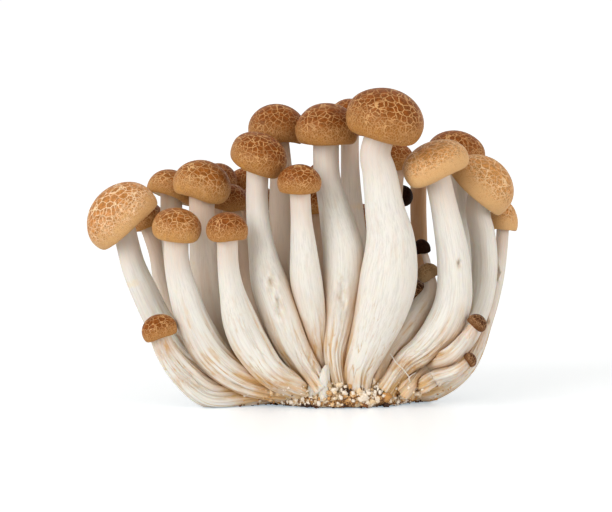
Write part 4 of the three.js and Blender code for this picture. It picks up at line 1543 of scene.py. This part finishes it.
@dataclass
class Studio:
    """The plain white ground, whose size and place are in metres, the light and the camera."""

    aim: tuple[float, float, float] = (0.75, 0.0, 35.5)
    sensor: float = 36.0
    lens: float = 141.2
    fill: float = 0.66
    fill_colour: Colour = (1.0, 0.86, 0.73)
    key: float = 1.75
    key_from: tuple[float, float, float] = (-0.70, -0.60, 0.34)
    second: float = 1.05
    second_from: tuple[float, float, float] = (0.80, -0.56, 0.20)
    sun_angle: float = 44.0
    sun_colour: Colour = (0.985, 0.99, 1.0)
    seen: float = 1.02
    mirror: float = 0.7
    ground: Colour = (0.93, 0.93, 0.94)
    ground_size: float = 40.0
    ground_at: tuple[float, float, float] = (0, 10.0, -0.00002)
    glow: float = 0.40
    glow_colour: Colour = (0.68, 0.87, 1.0)

    def _ground(self) -> None:
        """The ground: white, and a little brighter as seen, so that it meets the background unseen."""
        floor = Skin("white_ground")
        floor.set(Base_Color=self.ground, Roughness=0.28, Emission_Color=self.glow_colour)
        floor.set(Emission_Strength=floor.times(floor.light_path("Camera"), self.glow))
        bpy.ops.mesh.primitive_plane_add(size=self.ground_size, location=self.ground_at)
        plane = bpy.context.object
        plane.name = "ground"
        plane.data.materials.append(floor.material)

    def _world(self) -> None:
        """White all round: seen at full strength, mirrored a little weaker, and lighting things warmly."""
        world = bpy.data.worlds.new("white")
        world.use_nodes = True
        n = Nodes(world.node_tree)
        background = next(node for node in n.tree.nodes if node.type == "BACKGROUND")
        seen = n.times(n.light_path("Camera"), self.seen)
        mirrored = n.times(n.light_path("Glossy"), self.mirror)
        plain = n.larger(seen, mirrored)
        n.feed(background.inputs["Strength"], n.larger(plain, self.fill))
        warmth = n.mix(n.math("MINIMUM", plain, 1.0), self.fill_colour, (1.0, 1.0, 1.0))
        n.feed(background.inputs["Color"], warmth)
        bpy.context.scene.world = world

    def _sun(self, name: str, strength: float, direction: tuple[float, float, float]) -> None:
        """Adds a wide soft light from far off.

        Args:
            name: the light's name.
            strength: how bright it is.
            direction: where it comes from.
        """
        sun = bpy.data.lights.new(name, "SUN")
        sun.energy, sun.angle, sun.color = strength, math.radians(self.sun_angle), self.sun_colour
        lamp = bpy.data.objects.new(name, sun)
        lamp.rotation_euler = (-Vector(direction)).to_track_quat("-Z", "Y").to_euler()
        bpy.context.scene.collection.objects.link(lamp)

    def build(self) -> None:
        """Makes the ground, the world's light, the two lamps and the camera."""
        self._ground()
        self._world()
        scene = bpy.context.scene
        scene.view_settings.view_transform = "Standard"
        self._sun("key", self.key, self.key_from)
        self._sun("second", self.second, self.second_from)
        data = bpy.data.cameras.new("camera")
        data.sensor_width, data.lens = self.sensor, self.lens
        data.clip_start, data.clip_end = 0.01, 60
        camera = bpy.data.objects.new("camera", data)
        camera.location = Vector(EYE * MM)
        towards = Vector(self.aim) * MM - camera.location
        camera.rotation_euler = towards.to_track_quat("-Z", "Y").to_euler()
        scene.collection.objects.link(camera)
        scene.camera = camera


def main() -> None:
    """Loads the frame and builds every piece in order."""
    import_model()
    layout = Layout()
    layout.settle(MUSHROOMS)
    skins = {tone: CapFinish(tone).make() for tone in Tone}
    flesh = FleshFinish().make()
    cake = Base()
    feet = []
    for index, mushroom in enumerate(MUSHROOMS):
        cap = Cap(mushroom, index + 1).dress(skins[mushroom.tone])
        stalk = Stalk(mushroom, index, layout.lines, cake)
        shell = stalk.build()
        feet.append(stalk.foot(shell))
        made = stalk.dress(shell, flesh)
        faces = len(cap.data.polygons), len(made.data.polygons)
        LOG.info("mushroom %s: %d and %d faces", mushroom.name, *faces)
    for piece in cake.dress(np.concatenate(feet), BaseFinish().make(), CrumbFinish().make()):
        LOG.info("%s: %d faces", piece.name, len(piece.data.polygons))
    for stub in STUBS:
        LOG.info("%s: %d faces", stub.name, len(stub.dress(flesh).data.polygons))
    Studio().build()


if __name__ == "__main__":
    logging.basicConfig(level=logging.INFO, format="%(message)s")
    main()
